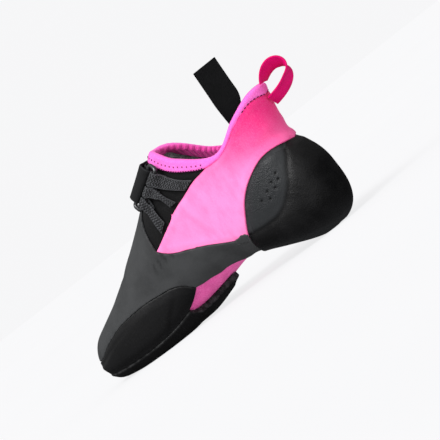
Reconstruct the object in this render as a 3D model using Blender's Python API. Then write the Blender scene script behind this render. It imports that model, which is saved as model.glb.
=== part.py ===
"""Climbing shoe: a rubber-clad slipper with its closure and pull loops, each piece a body of its own.

The toe points to -X and the heel to +X. The inner side of the foot, which carries the ring of the
closure, is on -Y. Every covering is cut from the same surface as the upper, so they all follow one last.
A place on that surface is a pair (s, h). The station s runs round the foot edge, from 0 at the toe tip to
-12 along the inner side and 12 along the outer side, both at the middle of the heel. The share h is 0 at
the foot edge, 1 at the top line and -1 at the keel line under the foot.
"""

import math
from collections import namedtuple

import bmesh
import bpy
import numpy as np
from mathutils import Vector
from mathutils.geometry import delaunay_2d_cdt

# Driving sizes of the last, in metres
LAST_LENGTH = 0.232
BALL_WIDTH = 0.084
HEEL_WIDTH = 0.062
INSTEP_HEIGHT = 0.107
HEEL_HEIGHT = 0.097

# Thicknesses of the materials
UPPER_WALL = 0.0020
INSOLE_THICKNESS = 0.0020
OUTSOLE_THICKNESS = 0.0042
RAND_THICKNESS = 0.0021
VAMP_THICKNESS = 0.0012
QUARTER_THICKNESS = 0.0010
CUP_THICKNESS = 0.0027
CUP_DISH_DEPTH = 0.0012
BINDING_THICKNESS = 0.0010
RIBBON_THICKNESS = 0.0012
STRAP_THICKNESS = 0.0014
PULL_THICKNESS = 0.0012
CLEARANCE = 0.0003
SKIN_CLEARANCE = 0.00055
INNER_CLEARANCE = 0.0007
BINDING_CLEARANCE = 0.0007

# Closure
BAR_DIAMETER = 0.0028
BAR_SPACING = 0.0065
BAR_HEIGHT = 0.0054
BAR_OVERRUN = 0.0006
RING_CORNER = 0.0018
RIBBON_RETURN = 0.0070
STRAP_LIFT = 0.0025
STRAP_FOLD_GAP = 0.00035

# Heel loop and collar tab
HEEL_LOOP_WIDTH = 0.0108
HEEL_LOOP_REACH = 0.0305
HEEL_LOOP_SPREAD = 0.0180
TAB_WIDTH = 0.0175
TAB_FREE_LENGTH = 0.0380
TAB_SEAT = 0.0120
TAB_LEAN = math.radians(7)

# One row for each station from the toe back to the heel: the direction in which its section looks out from
# the spine, in degrees, the place of the spine as shares of the length and width, and the heights of the
# keel line and the ridge line as shares of the height, all in hundredths. The share called rear is how much
# of the local width and height comes from the heel, the rest being from the ball and the instep.
Station = namedtuple("Station", "look spine_x spine_y keel ridge rear")
STATIONS = (
    Station(180, 14.4, -13.0, 6.6, 33.5, 0),
    Station(152, 14.8, -13.0, 6.4, 34.0, 0),
    Station(124, 16.4, -12.5, 5.6, 35.8, 0),
    Station(102, 20.6, -11.5, 4.4, 40.6, 0),
    Station(90, 28.0, -9.0, 4.0, 50.8, 0),
    Station(90, 38.0, -5.0, 5.4, 66.0, 0),
    Station(90, 48.5, -1.5, 11.0, 83.5, 0),
    Station(90, 57.0, 0.0, 15.5, 101, 15),
    Station(90, 66.0, 1.0, 17.0, 101, 45),
    Station(85, 76.5, 1.0, 10.5, 101, 80),
    Station(62, 83.5, 0.5, 4.4, 101, 100),
    Station(31, 85.5, 0.0, 3.1, 101, 100),
    Station(0, 85.7, 0.0, 3.0, 101, 100),
)

# The wall of each section: how far out from the spine, in hundredths of the local width, and how high, in
# hundredths of the local height, lie the foot edge, the widest place, the shoulder and the collar.
Wall = namedtuple("Wall", "foot_out foot_up wide_out wide_up shoulder_out shoulder_up collar_out collar_up")
TOE_WALL = Wall(29.5, 9.0, 32.0, 14.5, 23.0, 26.5, 0, 0)
INNER_WALLS = (
    Wall(28.0, 8.6, 30.5, 15.0, 22.5, 27.5, 0, 0),
    Wall(27.5, 7.4, 31.0, 15.5, 23.0, 30.0, 0, 0),
    Wall(29.0, 6.6, 33.5, 17.0, 24.5, 35.0, 0, 0),
    Wall(33.0, 6.4, 38.0, 20.5, 27.5, 43.5, 0, 0),
    Wall(29.5, 9.0, 37.0, 26.5, 28.5, 56.5, 0, 0),
    Wall(23.5, 16.0, 34.5, 33.5, 28.0, 71.0, 0, 0),
    Wall(21.8, 20.5, 34.5, 37.5, 29.6, 82.5, 0, 101),
    Wall(25.5, 21.0, 37.5, 37.5, 34.5, 69.0, 30.0, 90.5),
    Wall(33.0, 15.0, 42.5, 36.0, 38.3, 66.0, 33.5, 80.0),
    Wall(36.0, 8.8, 45.0, 35.5, 36.5, 69.0, 33.5, 92.5),
    Wall(33.0, 7.2, 44.0, 35.5, 33.0, 70.0, 36.0, 98.5),
)
OUTER_WALLS = (
    Wall(33.0, 8.6, 36.0, 14.5, 26.5, 27.0, 0, 0),
    Wall(38.5, 7.4, 42.0, 14.5, 29.5, 29.0, 0, 0),
    Wall(44.0, 6.8, 48.5, 15.5, 33.5, 32.5, 0, 0),
    Wall(48.5, 7.2, 53.5, 18.0, 37.5, 39.0, 0, 0),
    Wall(44.0, 10.5, 50.5, 23.5, 37.0, 51.0, 0, 0),
    Wall(35.5, 16.0, 43.5, 29.5, 33.5, 65.5, 0, 0),
    Wall(31.5, 19.0, 41.0, 34.0, 33.0, 79.0, 0, 101),
    Wall(31.5, 19.5, 42.5, 35.5, 38.0, 66.0, 32.0, 83.0),
    Wall(36.0, 14.5, 46.0, 35.0, 40.0, 62.0, 34.5, 77.0),
    Wall(37.0, 8.8, 44.5, 35.5, 35.5, 67.0, 34.0, 90.0),
    Wall(33.0, 7.2, 43.0, 35.5, 31.0, 69.0, 37.0, 98.0),
)
HEEL_WALL = Wall(27.0, 7.0, 42.5, 36.5, 30.5, 70.0, 39.5, 99.5)

HEEL = len(STATIONS) - 1
THROAT = 7
SEGMENT_STEPS = 12

# The lattice that the upper and everything cut from its surface share
STATION_STEP = 0.5
LATTICE_ROOM = 0.0022
THROAT_STATIONS = (5.78, 6.85, 7.05, 7.2, 7.35, 7.75)
FOOT_ROWS = (-1, -0.75, -0.5, -0.25, -0.1)
INSOLE_ROWS = (-1, -0.65, -0.3, -0.02)
WALL_ROWS = (0, 0.03, 0.08, 0.15, 0.23, 0.31, 0.4, 0.5, 0.6, 0.7, 0.8, 0.9, 0.95, 1)

# Edges on the surface as (station, share) from front to back, read the same on the inner and outer side
Mark = namedtuple("Mark", "station share")
FOOT_EDGE_SHARE = 0.03
RAND_TOP = (
    Mark(0, 0.24), Mark(1, 0.25), Mark(1.9, 0.29), Mark(2.4, 0.36), Mark(2.9, 0.4),
    Mark(3.5, 0.415), Mark(4.2, 0.38), Mark(4.7, 0.34), Mark(5.1, 0.29), Mark(5.45, 0.24),
    Mark(5.75, 0.175), Mark(5.95, 0.085),
)
RAND_END = (Mark(5.95, 0.085), Mark(5.65, 0.05), Mark(5.34, FOOT_EDGE_SHARE))
BAND_TOP = (
    Mark(5.78, 0.48), Mark(6.2, 0.35), Mark(6.8, 0.26), Mark(7.4, 0.225), Mark(7.95, 0.2), Mark(8.5, 0.16),
)
BAND_FRONT = (
    Mark(5.95, 0.085), Mark(6.3, 0.065), Mark(6.75, 0.025), Mark(7.18, -0.1), Mark(7.4, -0.4),
    Mark(7.52, -0.75), Mark(7.56, -1),
)
SOLE_END = (
    Mark(5.34, FOOT_EDGE_SHARE), Mark(5.46, -0.18), Mark(5.74, -0.46), Mark(6.15, -0.76), Mark(6.6, -1),
)
CUP_FRONT = (Mark(8.25, -1), Mark(8.3, -0.5), Mark(8.4, 0), Mark(8.5, 0.16))
CUP_TOP = (
    Mark(8.5, 0.16), Mark(8.73, 0.32), Mark(9, 0.5), Mark(9.26, 0.6), Mark(9.55, 0.645), Mark(9.9, 0.66),
    Mark(10.25, 0.655), Mark(10.65, 0.635), Mark(11.15, 0.61), Mark(12, 0.59),
)
QUARTER_FRONT = (
    Mark(5.78, 0.48), Mark(6.3, 0.485), Mark(6.85, 0.505), Mark(7.25, 0.57), Mark(7.65, 0.655),
    Mark(8.03, 0.765), Mark(8.36, 0.85), Mark(8.65, 0.935),
)
BINDING_LOW = (
    Mark(6.78, 1), Mark(6.84, 0.95), Mark(7.02, 0.905), Mark(7.35, 0.885), Mark(7.9, 0.9),
    Mark(8.3, 0.91), Mark(8.65, 0.935), Mark(9, 0.972), Mark(9.5, 0.978), Mark(10.5, 0.978),
    Mark(11, 0.972), Mark(11.5, 0.956), Mark(12, 0.942),
)
VAMP_END = 5.78

# The closure lies on the inner side. The ribbons hold a bar that runs between two places, rear and front
NEAR_BAR = (Mark(-7.32, 0.845), Mark(-6.35, 0.687))
BAR_AREA = (Mark(-8.0, 0.5), Mark(-5.8, 1))

# Each ribbon: the shares of the bar where it starts and ends, and its far corners by the quarter's edge
Ribbon = namedtuple("Ribbon", "name bar_start bar_end rear_corner front_corner")
RIBBONS = (
    Ribbon("ribbon_upper", 0.00, 0.37, Mark(-8.17, 0.820), Mark(-7.81, 0.720)),
    Ribbon("ribbon_middle", 0.42, 0.69, Mark(-7.35, 0.608), Mark(-7.09, 0.562)),
    Ribbon("ribbon_lower", 0.74, 1.00, Mark(-6.62, 0.508), Mark(-6.27, 0.497)),
)

# Near the bar a ribbon rises from the shoe, and its folded tail lies under it: shares of the length that it
# is folded back, and how far it is lifted there. The wrap round the bar is in degrees from straight out
Rise = namedtuple("Rise", "share lift")
RIBBON_RISES = (Rise(1, 0), Rise(0.7, 0.0004), Rise(0.45, 0.0019))
RIBBON_TAIL = (Rise(0.42, 0.0003), Rise(0.65, 0), Rise(0.9, 0))
RIBBON_SLACK = 0.001
RIBBON_WRAP_START = -35
RIBBON_WRAP_END = 205

# The strap over the outer side: its share, the stations of its two edges and its height over the surface,
# from the quarter's edge up to the ridge. Its free end lies back over it down to a last share.
StrapRow = namedtuple("StrapRow", "share rear front height")
STRAP_ROWS = (
    StrapRow(0.525, 6.86, 5.98, 0.00125), StrapRow(0.6, 6.85, 5.96, 0.00125),
    StrapRow(0.7, 6.82, 5.93, 0.00130), StrapRow(0.8, 6.79, 5.90, 0.00155),
    StrapRow(0.9, 6.75, 5.87, 0.0021), StrapRow(1, 6.72, 5.85, STRAP_LIFT),
)
STRAP_TIP = 0.66
TAB_STATION = -10.2

# The heel loop: the ways, in degrees round from straight back and up from level, in which it reaches and in
# which the tape's width lies at its seat and at its far end, and how far its legs roll about its reach.
# Its centre line starts at a depth under the surface, and only the part outside the seam is made
LoopShape = namedtuple(
    "LoopShape", "seat_share depth reach_round reach_up roll seat_round seat_up end_round end_up")
HEEL_LOOP = LoopShape(0.865, 0.003, 12, 31, -5, -24, 31, -57, 46)
LOOP_NARROWING = 1.25

# The oval dished panel on each side of the heel cup
Dish = namedtuple("Dish", "station share half_length half_height")
CUP_DISH = Dish(9.65, 0.4, 0.85, 0.235)

BLACK_RUBBER = ("matte_rubber", (0.030, 0.030, 0.032), 0.55)
SOLE_RUBBER = ("sole_rubber", (0.018, 0.018, 0.019), 0.6)
CUP_RUBBER = ("heel_rubber", (0.014, 0.014, 0.015), 0.42)
PINK_FIBRE = ("pink_microfibre", (0.90, 0.18, 0.52), 0.75)
PINK_BINDING = ("pink_binding", (0.85, 0.09, 0.42), 0.7)
MAGENTA_TAPE = ("magenta_tape", (0.56, 0.0, 0.14), 0.65)
BLACK_TAPE = ("black_tape", (0.015, 0.015, 0.016), 0.7)
BLACK_STRETCH = ("black_stretch", (0.012, 0.012, 0.013), 0.85)
DARK_METAL = ("dark_coated_steel", (0.02, 0.02, 0.022), 0.3)
FOOTBED = ("footbed", (0.10, 0.10, 0.11), 0.9)


def station_at(k):
    return STATIONS[abs(k)]


def wall_at(k):
    if k == 0:
        return TOE_WALL
    if abs(k) == HEEL:
        return HEEL_WALL
    return INNER_WALLS[-k - 1] if k < 0 else OUTER_WALLS[k - 1]


def local_width(k):
    rear = station_at(k).rear / 100
    return BALL_WIDTH * (1 - rear) + HEEL_WIDTH * rear


def local_height(k):
    rear = station_at(k).rear / 100
    return INSTEP_HEIGHT * (1 - rear) + HEEL_HEIGHT * rear


def unit(v):
    return v / np.maximum(np.linalg.norm(v, axis=-1, keepdims=True), 1e-12)


def hermite(p, q, m, n, t):
    """The cubic from p to q that leaves along m and arrives along n."""
    start = 2 * t**3 - 3 * t**2 + 1
    return start * p + (1 - start) * q + (t**3 - 2 * t**2 + t) * m + (t**3 - t**2) * n


class LoopCurve:
    """A smooth curve through one value at each station, all the way round the shoe."""

    def __init__(self, value_at, turn=0.0):
        self.count = 2 * HEEL
        self.turn = turn
        self.values = np.array([value_at(k) for k in range(-HEEL, HEEL)], float)
        self.values -= turn * np.arange(self.count) / self.count
        same = np.eye(self.count)
        system = 4 * same + np.roll(same, 1, 0) + np.roll(same, -1, 0)
        bend = np.roll(self.values, -1) - 2 * self.values + np.roll(self.values, 1)
        self.bends = np.linalg.solve(system, 6 * bend)

    def __call__(self, s):
        place = np.asarray(s, float) + HEEL
        low = np.floor(place).astype(int)
        t = place - low
        a = low % self.count
        b = (low + 1) % self.count
        value = (1 - t) * self.values[a] + t * self.values[b]
        value += ((1 - t)**3 - (1 - t)) * self.bends[a] / 6 + (t**3 - t) * self.bends[b] / 6
        return value + self.turn * place / self.count


class LineCurve:
    """A smooth curve of height against the place along the shoe, which also gives its slope."""

    def __init__(self, x, z):
        self.x = np.asarray(x, float)
        self.z = np.asarray(z, float)
        count = len(x)
        step = np.diff(self.x)
        rise = np.diff(self.z) / step
        system = np.eye(count)
        bend = np.zeros(count)
        for i in range(1, count - 1):
            system[i, i - 1:i + 2] = step[i - 1], 2 * (step[i - 1] + step[i]), step[i]
            bend[i] = 6 * (rise[i] - rise[i - 1])
        self.bends = np.linalg.solve(system, bend)

    def __call__(self, x):
        i = np.clip(np.searchsorted(self.x, x) - 1, 0, len(self.x) - 2)
        step = self.x[i + 1] - self.x[i]
        t = (x - self.x[i]) / step
        a = self.bends[i] * step**2 / 6
        b = self.bends[i + 1] * step**2 / 6
        rise = self.z[i + 1] - self.z[i]
        height = self.z[i] + t * rise + ((1 - t)**3 - (1 - t)) * a + (t**3 - t) * b
        slope = (rise + (1 - 3 * (1 - t)**2) * a + (3 * t**2 - 1) * b) / step
        return height, slope


class Last:
    """The surface that the upper and its coverings follow."""

    WALL_COLUMNS = 6

    def __init__(self):
        self.look = LoopCurve(
            lambda k: station_at(k).look if k >= 0 else 360 - station_at(k).look, turn=-360)
        self.spine_x = LoopCurve(lambda k: station_at(k).spine_x * LAST_LENGTH / 100)
        self.spine_y = LoopCurve(lambda k: station_at(k).spine_y * BALL_WIDTH / 100)
        self.wall = [LoopCurve(lambda k, c=c: self.wall_size(k, c)) for c in range(self.WALL_COLUMNS)]
        places = [row.spine_x * LAST_LENGTH / 100 for row in STATIONS]
        keel = [row.keel * local_height(k) / 100 for k, row in enumerate(STATIONS)]
        ridge = [row.ridge * local_height(k) / 100 for k, row in enumerate(STATIONS)]
        self.keel = LineCurve(places, keel)
        self.ridge = LineCurve(places[:THROAT + 1], ridge[:THROAT + 1])
        behind = range(THROAT, HEEL + 1)
        self.collar_out = {}
        self.collar_up = {}
        for side in (-1, 1):
            out = [wall_at(side * k).collar_out * local_width(k) / 100 for k in behind]
            self.collar_out[side] = [size**2 for size in out]
            self.collar_up[side] = [wall_at(side * k).collar_up * local_height(k) / 100 for k in behind]

    @staticmethod
    def wall_size(k, column):
        size = local_height(k) if column % 2 else local_width(k)
        return wall_at(k)[column] * size / 100

    def collar(self, s):
        """(out, up) of the top edge: the ridge ahead of the throat and the collar behind it."""
        place = np.clip(np.abs(s), THROAT, HEEL) - THROAT
        low = np.minimum(np.floor(place).astype(int), HEEL - THROAT - 1)
        t = place - low
        found = []
        for tables, sign in ((self.collar_out, -1), (self.collar_up, 1)):
            rows = {}
            for side in (-1, 1):
                rows[side] = np.array([sign * tables[-side][1]] + tables[side] + [tables[-side][-2]])
            p = [np.where(s < 0, rows[-1][low + i], rows[1][low + i]) for i in range(4)]
            found.append(hermite(p[1], p[2], (p[2] - p[0]) / 2, (p[3] - p[1]) / 2, t))
        ahead = np.abs(s) <= THROAT
        out = np.where(ahead, 0, np.sqrt(np.maximum(found[0], 0)))
        return out, np.where(ahead, self.ridge(self.spine_x(s))[0], found[1])

    def frame(self, s):
        """The five points of each section as (out, up), and the directions of the curve there."""
        zero = 0 * s
        along = np.cos(np.radians(self.look(s)))
        x = self.spine_x(s)
        keel_up, keel_slope = self.keel(x)
        ridge_slope = self.ridge(np.minimum(x, self.ridge.x[-1]))[1]
        out, up = self.collar(s)
        keel = np.stack([zero, keel_up], -1)
        foot = np.stack([self.wall[0](s), self.wall[1](s)], -1)
        wide = np.stack([self.wall[2](s), self.wall[3](s)], -1)
        shoulder = np.stack([self.wall[4](s), self.wall[5](s)], -1)
        top = np.stack([out, up], -1)
        at_keel = unit(np.stack([zero + 1, keel_slope * along], -1))
        at_foot = unit(unit(foot - keel) + unit(wide - foot))
        at_wide = np.stack([zero, zero + 1], -1)
        at_shoulder = unit(unit(shoulder - wide) + unit(top - shoulder))
        over = unit(np.stack([zero - 1, -ridge_slope * along], -1))
        free = unit(1.6 * unit(top - shoulder) - 0.6 * at_shoulder)
        opened = np.clip(out / (0.2 * BALL_WIDTH), 0, 1)[..., None]
        at_top = unit(over * (1 - opened) + free * opened)
        points = np.stack([keel, foot, wide, shoulder, top], -2)
        return points, np.stack([at_keel, at_foot, at_wide, at_shoulder, at_top], -2)

    def section(self, s, h):
        """(out, up) at each place, and the length of the wall from the foot edge to the top line."""
        points, ways = self.frame(s)
        chords = np.linalg.norm(points[:, 1:] - points[:, :-1], axis=-1)
        steps = np.linspace(0, 1, SEGMENT_STEPS + 1)
        runs = []
        for j in range(4):
            scale = chords[:, j][:, None, None]
            start, end = points[:, j][:, None], points[:, j + 1][:, None]
            runs.append(hermite(start, end, ways[:, j][:, None] * scale, ways[:, j + 1][:, None] * scale,
                                steps[None, :, None]))
        under = self.lengths(runs[0])
        side = self.lengths(np.concatenate([runs[1][:, :-1], runs[2][:, :-1], runs[3]], 1))
        wall_steps = np.linspace(1, 4, 3 * SEGMENT_STEPS + 1)
        share = np.empty(len(s))
        for i in range(len(s)):
            if h[i] <= 0:
                share[i] = np.interp((1 + h[i]) * under[i, -1], under[i], steps)
            else:
                share[i] = np.interp(h[i] * side[i, -1], side[i], wall_steps)
        j = np.where(h <= 0, 0, np.clip(np.floor(share).astype(int), 1, 3))
        t = (share - j)[:, None]
        i = np.arange(len(s))
        scale = chords[i, j][:, None]
        place = hermite(points[i, j], points[i, j + 1], ways[i, j] * scale, ways[i, j + 1] * scale, t)
        return place[:, 0], place[:, 1], side[:, -1]

    @staticmethod
    def lengths(run):
        pieces = np.linalg.norm(np.diff(run, axis=1), axis=-1)
        return np.concatenate([np.zeros((len(run), 1)), np.cumsum(pieces, 1)], 1)

    def surface(self, s, h):
        s = (s + HEEL) % (2 * HEEL) - HEEL
        out, up, _ = self.section(s, h)
        look = np.radians(self.look(s))
        x = self.spine_x(s) + out * np.cos(look)
        y = self.spine_y(s) + out * np.sin(look)
        return np.stack([x, y, up], -1)

    def normal(self, s, h, along_step=0.02, up_step=0.01):
        inside = np.clip(h, up_step - 1, 1 - up_step)
        along = self.surface(s + along_step, inside) - self.surface(s - along_step, inside)
        up = self.surface(s, np.minimum(h + up_step, 1)) - self.surface(s, np.maximum(h - up_step, -1))
        return unit(np.cross(up, along))

    def place(self, s, h, offset):
        """Points at a height over the surface. The two sides agree where they meet, on ridge and keel."""
        s, h, offset = np.broadcast_arrays(*[np.asarray(value, float) for value in (s, h, offset)])
        shape = s.shape
        s, h, offset = s.ravel(), h.ravel(), offset.ravel()
        away = self.normal(s, h)
        around = (s + HEEL) % (2 * HEEL) - HEEL
        joined = (h <= -1) | ((h >= 1) & (np.abs(around) <= THROAT))
        if joined.any():
            away[joined] = unit(away[joined] + self.normal(-s[joined], h[joined]))
        return (self.surface(s, h) + away * offset[:, None]).reshape(shape + (3,))

    def scales(self, s, h, step=0.02):
        """Metres for one station and for one share at each place."""
        inside = np.clip(h, step - 1, 1 - step)
        along = self.surface(s + step, inside) - self.surface(s - step, inside)
        up = self.surface(s, inside + step) - self.surface(s, inside - step)
        return np.linalg.norm(along, axis=-1) / (2 * step), np.linalg.norm(up, axis=-1) / (2 * step)


LAST = Last()
STATION_LINES = sorted(
    list(np.arange(-HEEL, 2 * HEEL + STATION_STEP, STATION_STEP))
    + [side * k for side in (-1, 1) for k in THROAT_STATIONS]
    + [2 * HEEL - k for k in THROAT_STATIONS]
)
SHARE_LINES = FOOT_ROWS + WALL_ROWS


def through(marks, step=0.35):
    """A smooth line through marks, with points about a step of stations apart."""
    marks = [np.array(mark, float) for mark in marks]
    line = []
    for i in range(len(marks) - 1):
        a, b = marks[i], marks[i + 1]
        before = marks[i - 1] if i else 2 * a - b
        after = marks[i + 2] if i + 2 < len(marks) else 2 * b - a
        span = np.hypot(b[0] - a[0], 4 * (b[1] - a[1]))
        count = max(1, round(span / step))
        for t in np.arange(count) / count:
            line.append(hermite(a, b, (b - before) / 2, (after - a) / 2, t))
    return line + [marks[-1]]


def at_lattice(marks):
    """The same smooth line with its points on the lattice's stations and its two ends."""
    fine = np.array(through(marks, 0.05))
    first, last = marks[0].station, marks[-1].station
    stations = [first] + [s for s in STATION_LINES if first + 0.05 < s < last - 0.05] + [last]
    return [np.array([s, np.interp(s, fine[:, 0], fine[:, 1])]) for s in stations]


def across(points):
    """The same line on the other side of the shoe, run backwards."""
    return [np.array([-s, h]) for s, h in reversed(points)]


def behind(points):
    """The same line carried on round the heel to the inner side, run backwards."""
    return [np.array([2 * HEEL - s, h]) for s, h in reversed(points)]


def lattice_run(start, end, share):
    """Points along one share from a start to an end, at the lattice's stations between them."""
    low, high = min(start, end), max(start, end)
    inner = [s for s in STATION_LINES if low + 0.04 < s < high - 0.04]
    if start > end:
        inner.reverse()
    return [np.array([s, share]) for s in [start] + inner + [end]]


def joined_ends(points):
    """Which points lie where the two sides meet, on the keel line or on the ridge."""
    around = np.abs((points[:, 0] + HEEL) % (2 * HEEL) - HEEL)
    return (points[:, 1] <= -1) | ((points[:, 1] >= 1) & (around <= THROAT))


def tidy_outline(points):
    """The outline without repeated points."""
    kept = []
    for point in points:
        if not kept or np.abs(point - kept[-1]).max() > 1e-6:
            kept.append(point)
    if np.abs(kept[0] - kept[-1]).max() < 1e-6:
        kept.pop()
    return np.array(kept)


def inset(outline, room):
    """The outline drawn in by some room. Points on the keel line and the ridge only slide along them."""
    ahead = np.roll(outline, -1, 0) - outline
    back = outline - np.roll(outline, 1, 0)
    along, up = LAST.scales(outline[:, 0], outline[:, 1])
    scale = np.stack([along, up], -1)
    way = unit(unit(ahead * scale) + unit(back * scale))
    after = np.roll(outline, -1, 0)
    twice_area = (outline[:, 0] * after[:, 1] - after[:, 0] * outline[:, 1]).sum()
    inward = np.stack([-way[:, 1], way[:, 0]], -1) * np.sign(twice_area)
    moved = outline + inward * room / scale
    joined = joined_ends(outline)
    both = (along + LAST.scales(-outline[:, 0], outline[:, 1])[0]) / 2
    slid = np.stack([np.round(inward[:, 0]) * room / both, 0 * both], -1)
    moved[joined] = (outline + slid)[joined]
    return moved


def inside(outline, points):
    """Which points lie inside an outline."""
    found = np.zeros(len(points), bool)
    for a, b in zip(outline, np.roll(outline, -1, 0)):
        crosses = (a[1] > points[:, 1]) != (b[1] > points[:, 1])
        if abs(b[1] - a[1]) > 1e-12:
            left = points[:, 0] < a[0] + (b[0] - a[0]) * (points[:, 1] - a[1]) / (b[1] - a[1])
            found ^= crosses & left
    return found


def clear_of(outline, points, room):
    """Which points are at least some room from the outline, in metres."""
    along, up = LAST.scales(points[:, 0], points[:, 1])
    scale = np.stack([along, up], -1)
    nearest = np.full(len(points), np.inf)
    for a, b in zip(outline, np.roll(outline, -1, 0)):
        start = (points - a) * scale
        run = (b - a) * scale
        t = np.clip((start * run).sum(-1) / np.maximum((run * run).sum(-1), 1e-12), 0, 1)[:, None]
        nearest = np.minimum(nearest, np.linalg.norm(start - run * t, axis=-1))
    return nearest > room


def triangulated(outline):
    """Points and triangles that fill an outline, using the lattice's own points inside it."""
    low, high = outline[:, 0].min(), outline[:, 0].max()
    grid = [(s, h) for s in STATION_LINES if low < s < high for h in SHARE_LINES]
    grid = np.array(grid)
    grid = grid[inside(outline, grid)]
    if len(grid):
        grid = grid[clear_of(outline, grid, LATTICE_ROOM)]
    points = np.concatenate([outline, grid]) if len(grid) else outline
    squash = 5.0
    flat = [Vector((s, h * squash)) for s, h in points]
    found = delaunay_2d_cdt(flat, [], [list(range(len(outline)))], 1, 1e-7)
    placed = np.array([(v.x, v.y / squash) for v in found[0]])
    return placed, [list(face) for face in found[2]]


def border_of(faces):
    """The directed edges that only one face has."""
    edges = {(face[i], face[(i + 1) % len(face)]) for face in faces for i in range(len(face))}
    return [edge for edge in edges if (edge[1], edge[0]) not in edges]


def material(look):
    name, colour, roughness = look
    made = bpy.data.materials.get(name)
    if made is None:
        made = bpy.data.materials.new(name)
        made.use_nodes = True
        shader = made.node_tree.nodes["Principled BSDF"]
        shader.inputs["Base Color"].default_value = (*colour, 1)
        shader.inputs["Roughness"].default_value = roughness
        shader.inputs["Metallic"].default_value = 0.0
        made.diffuse_color = (*colour, 1)
    return made


def body(name, points, faces, look):
    """An object from points and faces, welded and turned outwards."""
    mesh = bpy.data.meshes.new(name)
    mesh.from_pydata([tuple(p) for p in points], [], faces)
    work = bmesh.new()
    work.from_mesh(mesh)
    bmesh.ops.remove_doubles(work, verts=work.verts, dist=2e-6)
    bmesh.ops.recalc_face_normals(work, faces=work.faces)
    work.to_mesh(mesh)
    work.free()
    mesh.shade_smooth()
    mesh.set_sharp_from_angle(angle=math.radians(35))
    mesh.materials.append(material(look))
    made = bpy.data.objects.new(name, mesh)
    SHOE.objects.link(made)
    return made


def covering(name, outline, low, high, look, room=CLEARANCE / 2, floor=False):
    """A solid between two heights over the surface, inside an outline drawn on it."""
    outline = tidy_outline(outline)
    if room:
        outline = inset(outline, room)
    places, faces = triangulated(outline)
    s, h = places[:, 0], places[:, 1]
    under = LAST.place(s, h, low(s, h) if callable(low) else low)
    over = LAST.place(s, h, high(s, h) if callable(high) else high)
    if floor:
        over[:, 2] = np.maximum(over[:, 2], 0)
    count = len(places)
    joined = joined_ends(places)
    turned = [[count + i for i in reversed(face)] for face in faces]
    walls = []
    for a, b in border_of(faces):
        if not (joined[a] and joined[b]):
            walls.append([b, a, count + a, count + b])
    return body(name, np.concatenate([over, under]), faces + turned + walls, look)


def all_round(name, lines, shares, low, high, look):
    """A solid between two heights over the surface, all the way round, from the keel to a last share."""
    stations = [s for s in lines if -HEEL <= s < HEEL]
    count, rows = len(stations), len(shares)
    s, h = np.meshgrid(stations, shares, indexing="ij")
    layers = [LAST.place(s, h, height).reshape(-1, 3) for height in (high, low)]
    half = count * rows
    faces = []
    for i in range(count):
        j = (i + 1) % count
        for r in range(rows - 1):
            ring = [i * rows + r, j * rows + r, j * rows + r + 1, i * rows + r + 1]
            faces += [ring[:3], [ring[0], ring[2], ring[3]]]
            ring = [half + v for v in reversed(ring)]
            faces += [ring[1:], [ring[0], ring[1], ring[3]]]
        a, b = i * rows + rows - 1, j * rows + rows - 1
        closed = shares[-1] >= 1 and min(abs(stations[i]), abs(stations[j])) < THROAT
        if not closed:
            faces.append([a, b, half + b, half + a])
    return body(name, np.concatenate(layers), faces, look)


def make_upper():
    """One hollow sock, closed under the foot and open at the collar."""
    return all_round("upper", STATION_LINES, SHARE_LINES, -UPPER_WALL, 0, BLACK_STRETCH)


def make_insole():
    """A footbed on the sock's floor."""
    top = -UPPER_WALL - INNER_CLEARANCE
    lines = np.arange(-HEEL, HEEL, STATION_STEP)
    return all_round("insole", lines, INSOLE_ROWS, top - INSOLE_THICKNESS, top, FOOTBED)


def make_outsole():
    """The half sole under the forefoot, with its rounded rear end and its flat spot."""
    end = through(SOLE_END)
    outline = [np.array([-s, h]) for s, h in reversed(end)]
    outline += lattice_run(-SOLE_END[0].station, SOLE_END[0].station, FOOT_EDGE_SHARE)
    outline += end
    outline += lattice_run(SOLE_END[-1].station, -SOLE_END[-1].station, -1)
    low = SKIN_CLEARANCE
    return covering("outsole", outline, low, low + OUTSOLE_THICKNESS, SOLE_RUBBER, floor=True)


def make_toe_rand():
    top = at_lattice(RAND_TOP)
    end = through(RAND_END)
    outline = across(top)[:-1] + top + end
    outline += lattice_run(RAND_END[-1].station, -RAND_END[-1].station, FOOT_EDGE_SHARE)
    outline += across(end)
    return covering("toe_rand", outline, SKIN_CLEARANCE, SKIN_CLEARANCE + RAND_THICKNESS, BLACK_RUBBER)


def make_vamp_rubber():
    """The rubber over the toes, which runs back as a band on both sides and under the arch."""
    rand = at_lattice(RAND_TOP)
    front = through(BAND_FRONT)
    rear = through(CUP_FRONT)
    top = at_lattice(BAND_TOP)
    throat = through((Mark(VAMP_END, 1), Mark(VAMP_END, 0.9), Mark(VAMP_END, 0.75), Mark(VAMP_END, 0.6),
                      Mark(*BAND_TOP[0])))
    half = rand + front + lattice_run(BAND_FRONT[-1].station, CUP_FRONT[0].station, -1) + rear
    half += list(reversed(top)) + list(reversed(throat))
    other = [np.array([-s, h]) for s, h in reversed(half)]
    outline = half + lattice_run(VAMP_END, -VAMP_END, 1) + other
    return covering("vamp_rubber", outline, SKIN_CLEARANCE, SKIN_CLEARANCE + VAMP_THICKNESS, BLACK_RUBBER)


def dish(s, h):
    """How deep the dished panel is at a place on the cup, from 0 outside to 1 within."""
    around = np.abs((s + HEEL) % (2 * HEEL) - HEEL)
    along = (around - CUP_DISH.station) / CUP_DISH.half_length
    up = (h - CUP_DISH.share) / CUP_DISH.half_height
    reach = np.hypot(along, up)
    t = np.clip((1 - reach) / 0.2, 0, 1)
    return t * t * (3 - 2 * t)


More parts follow.
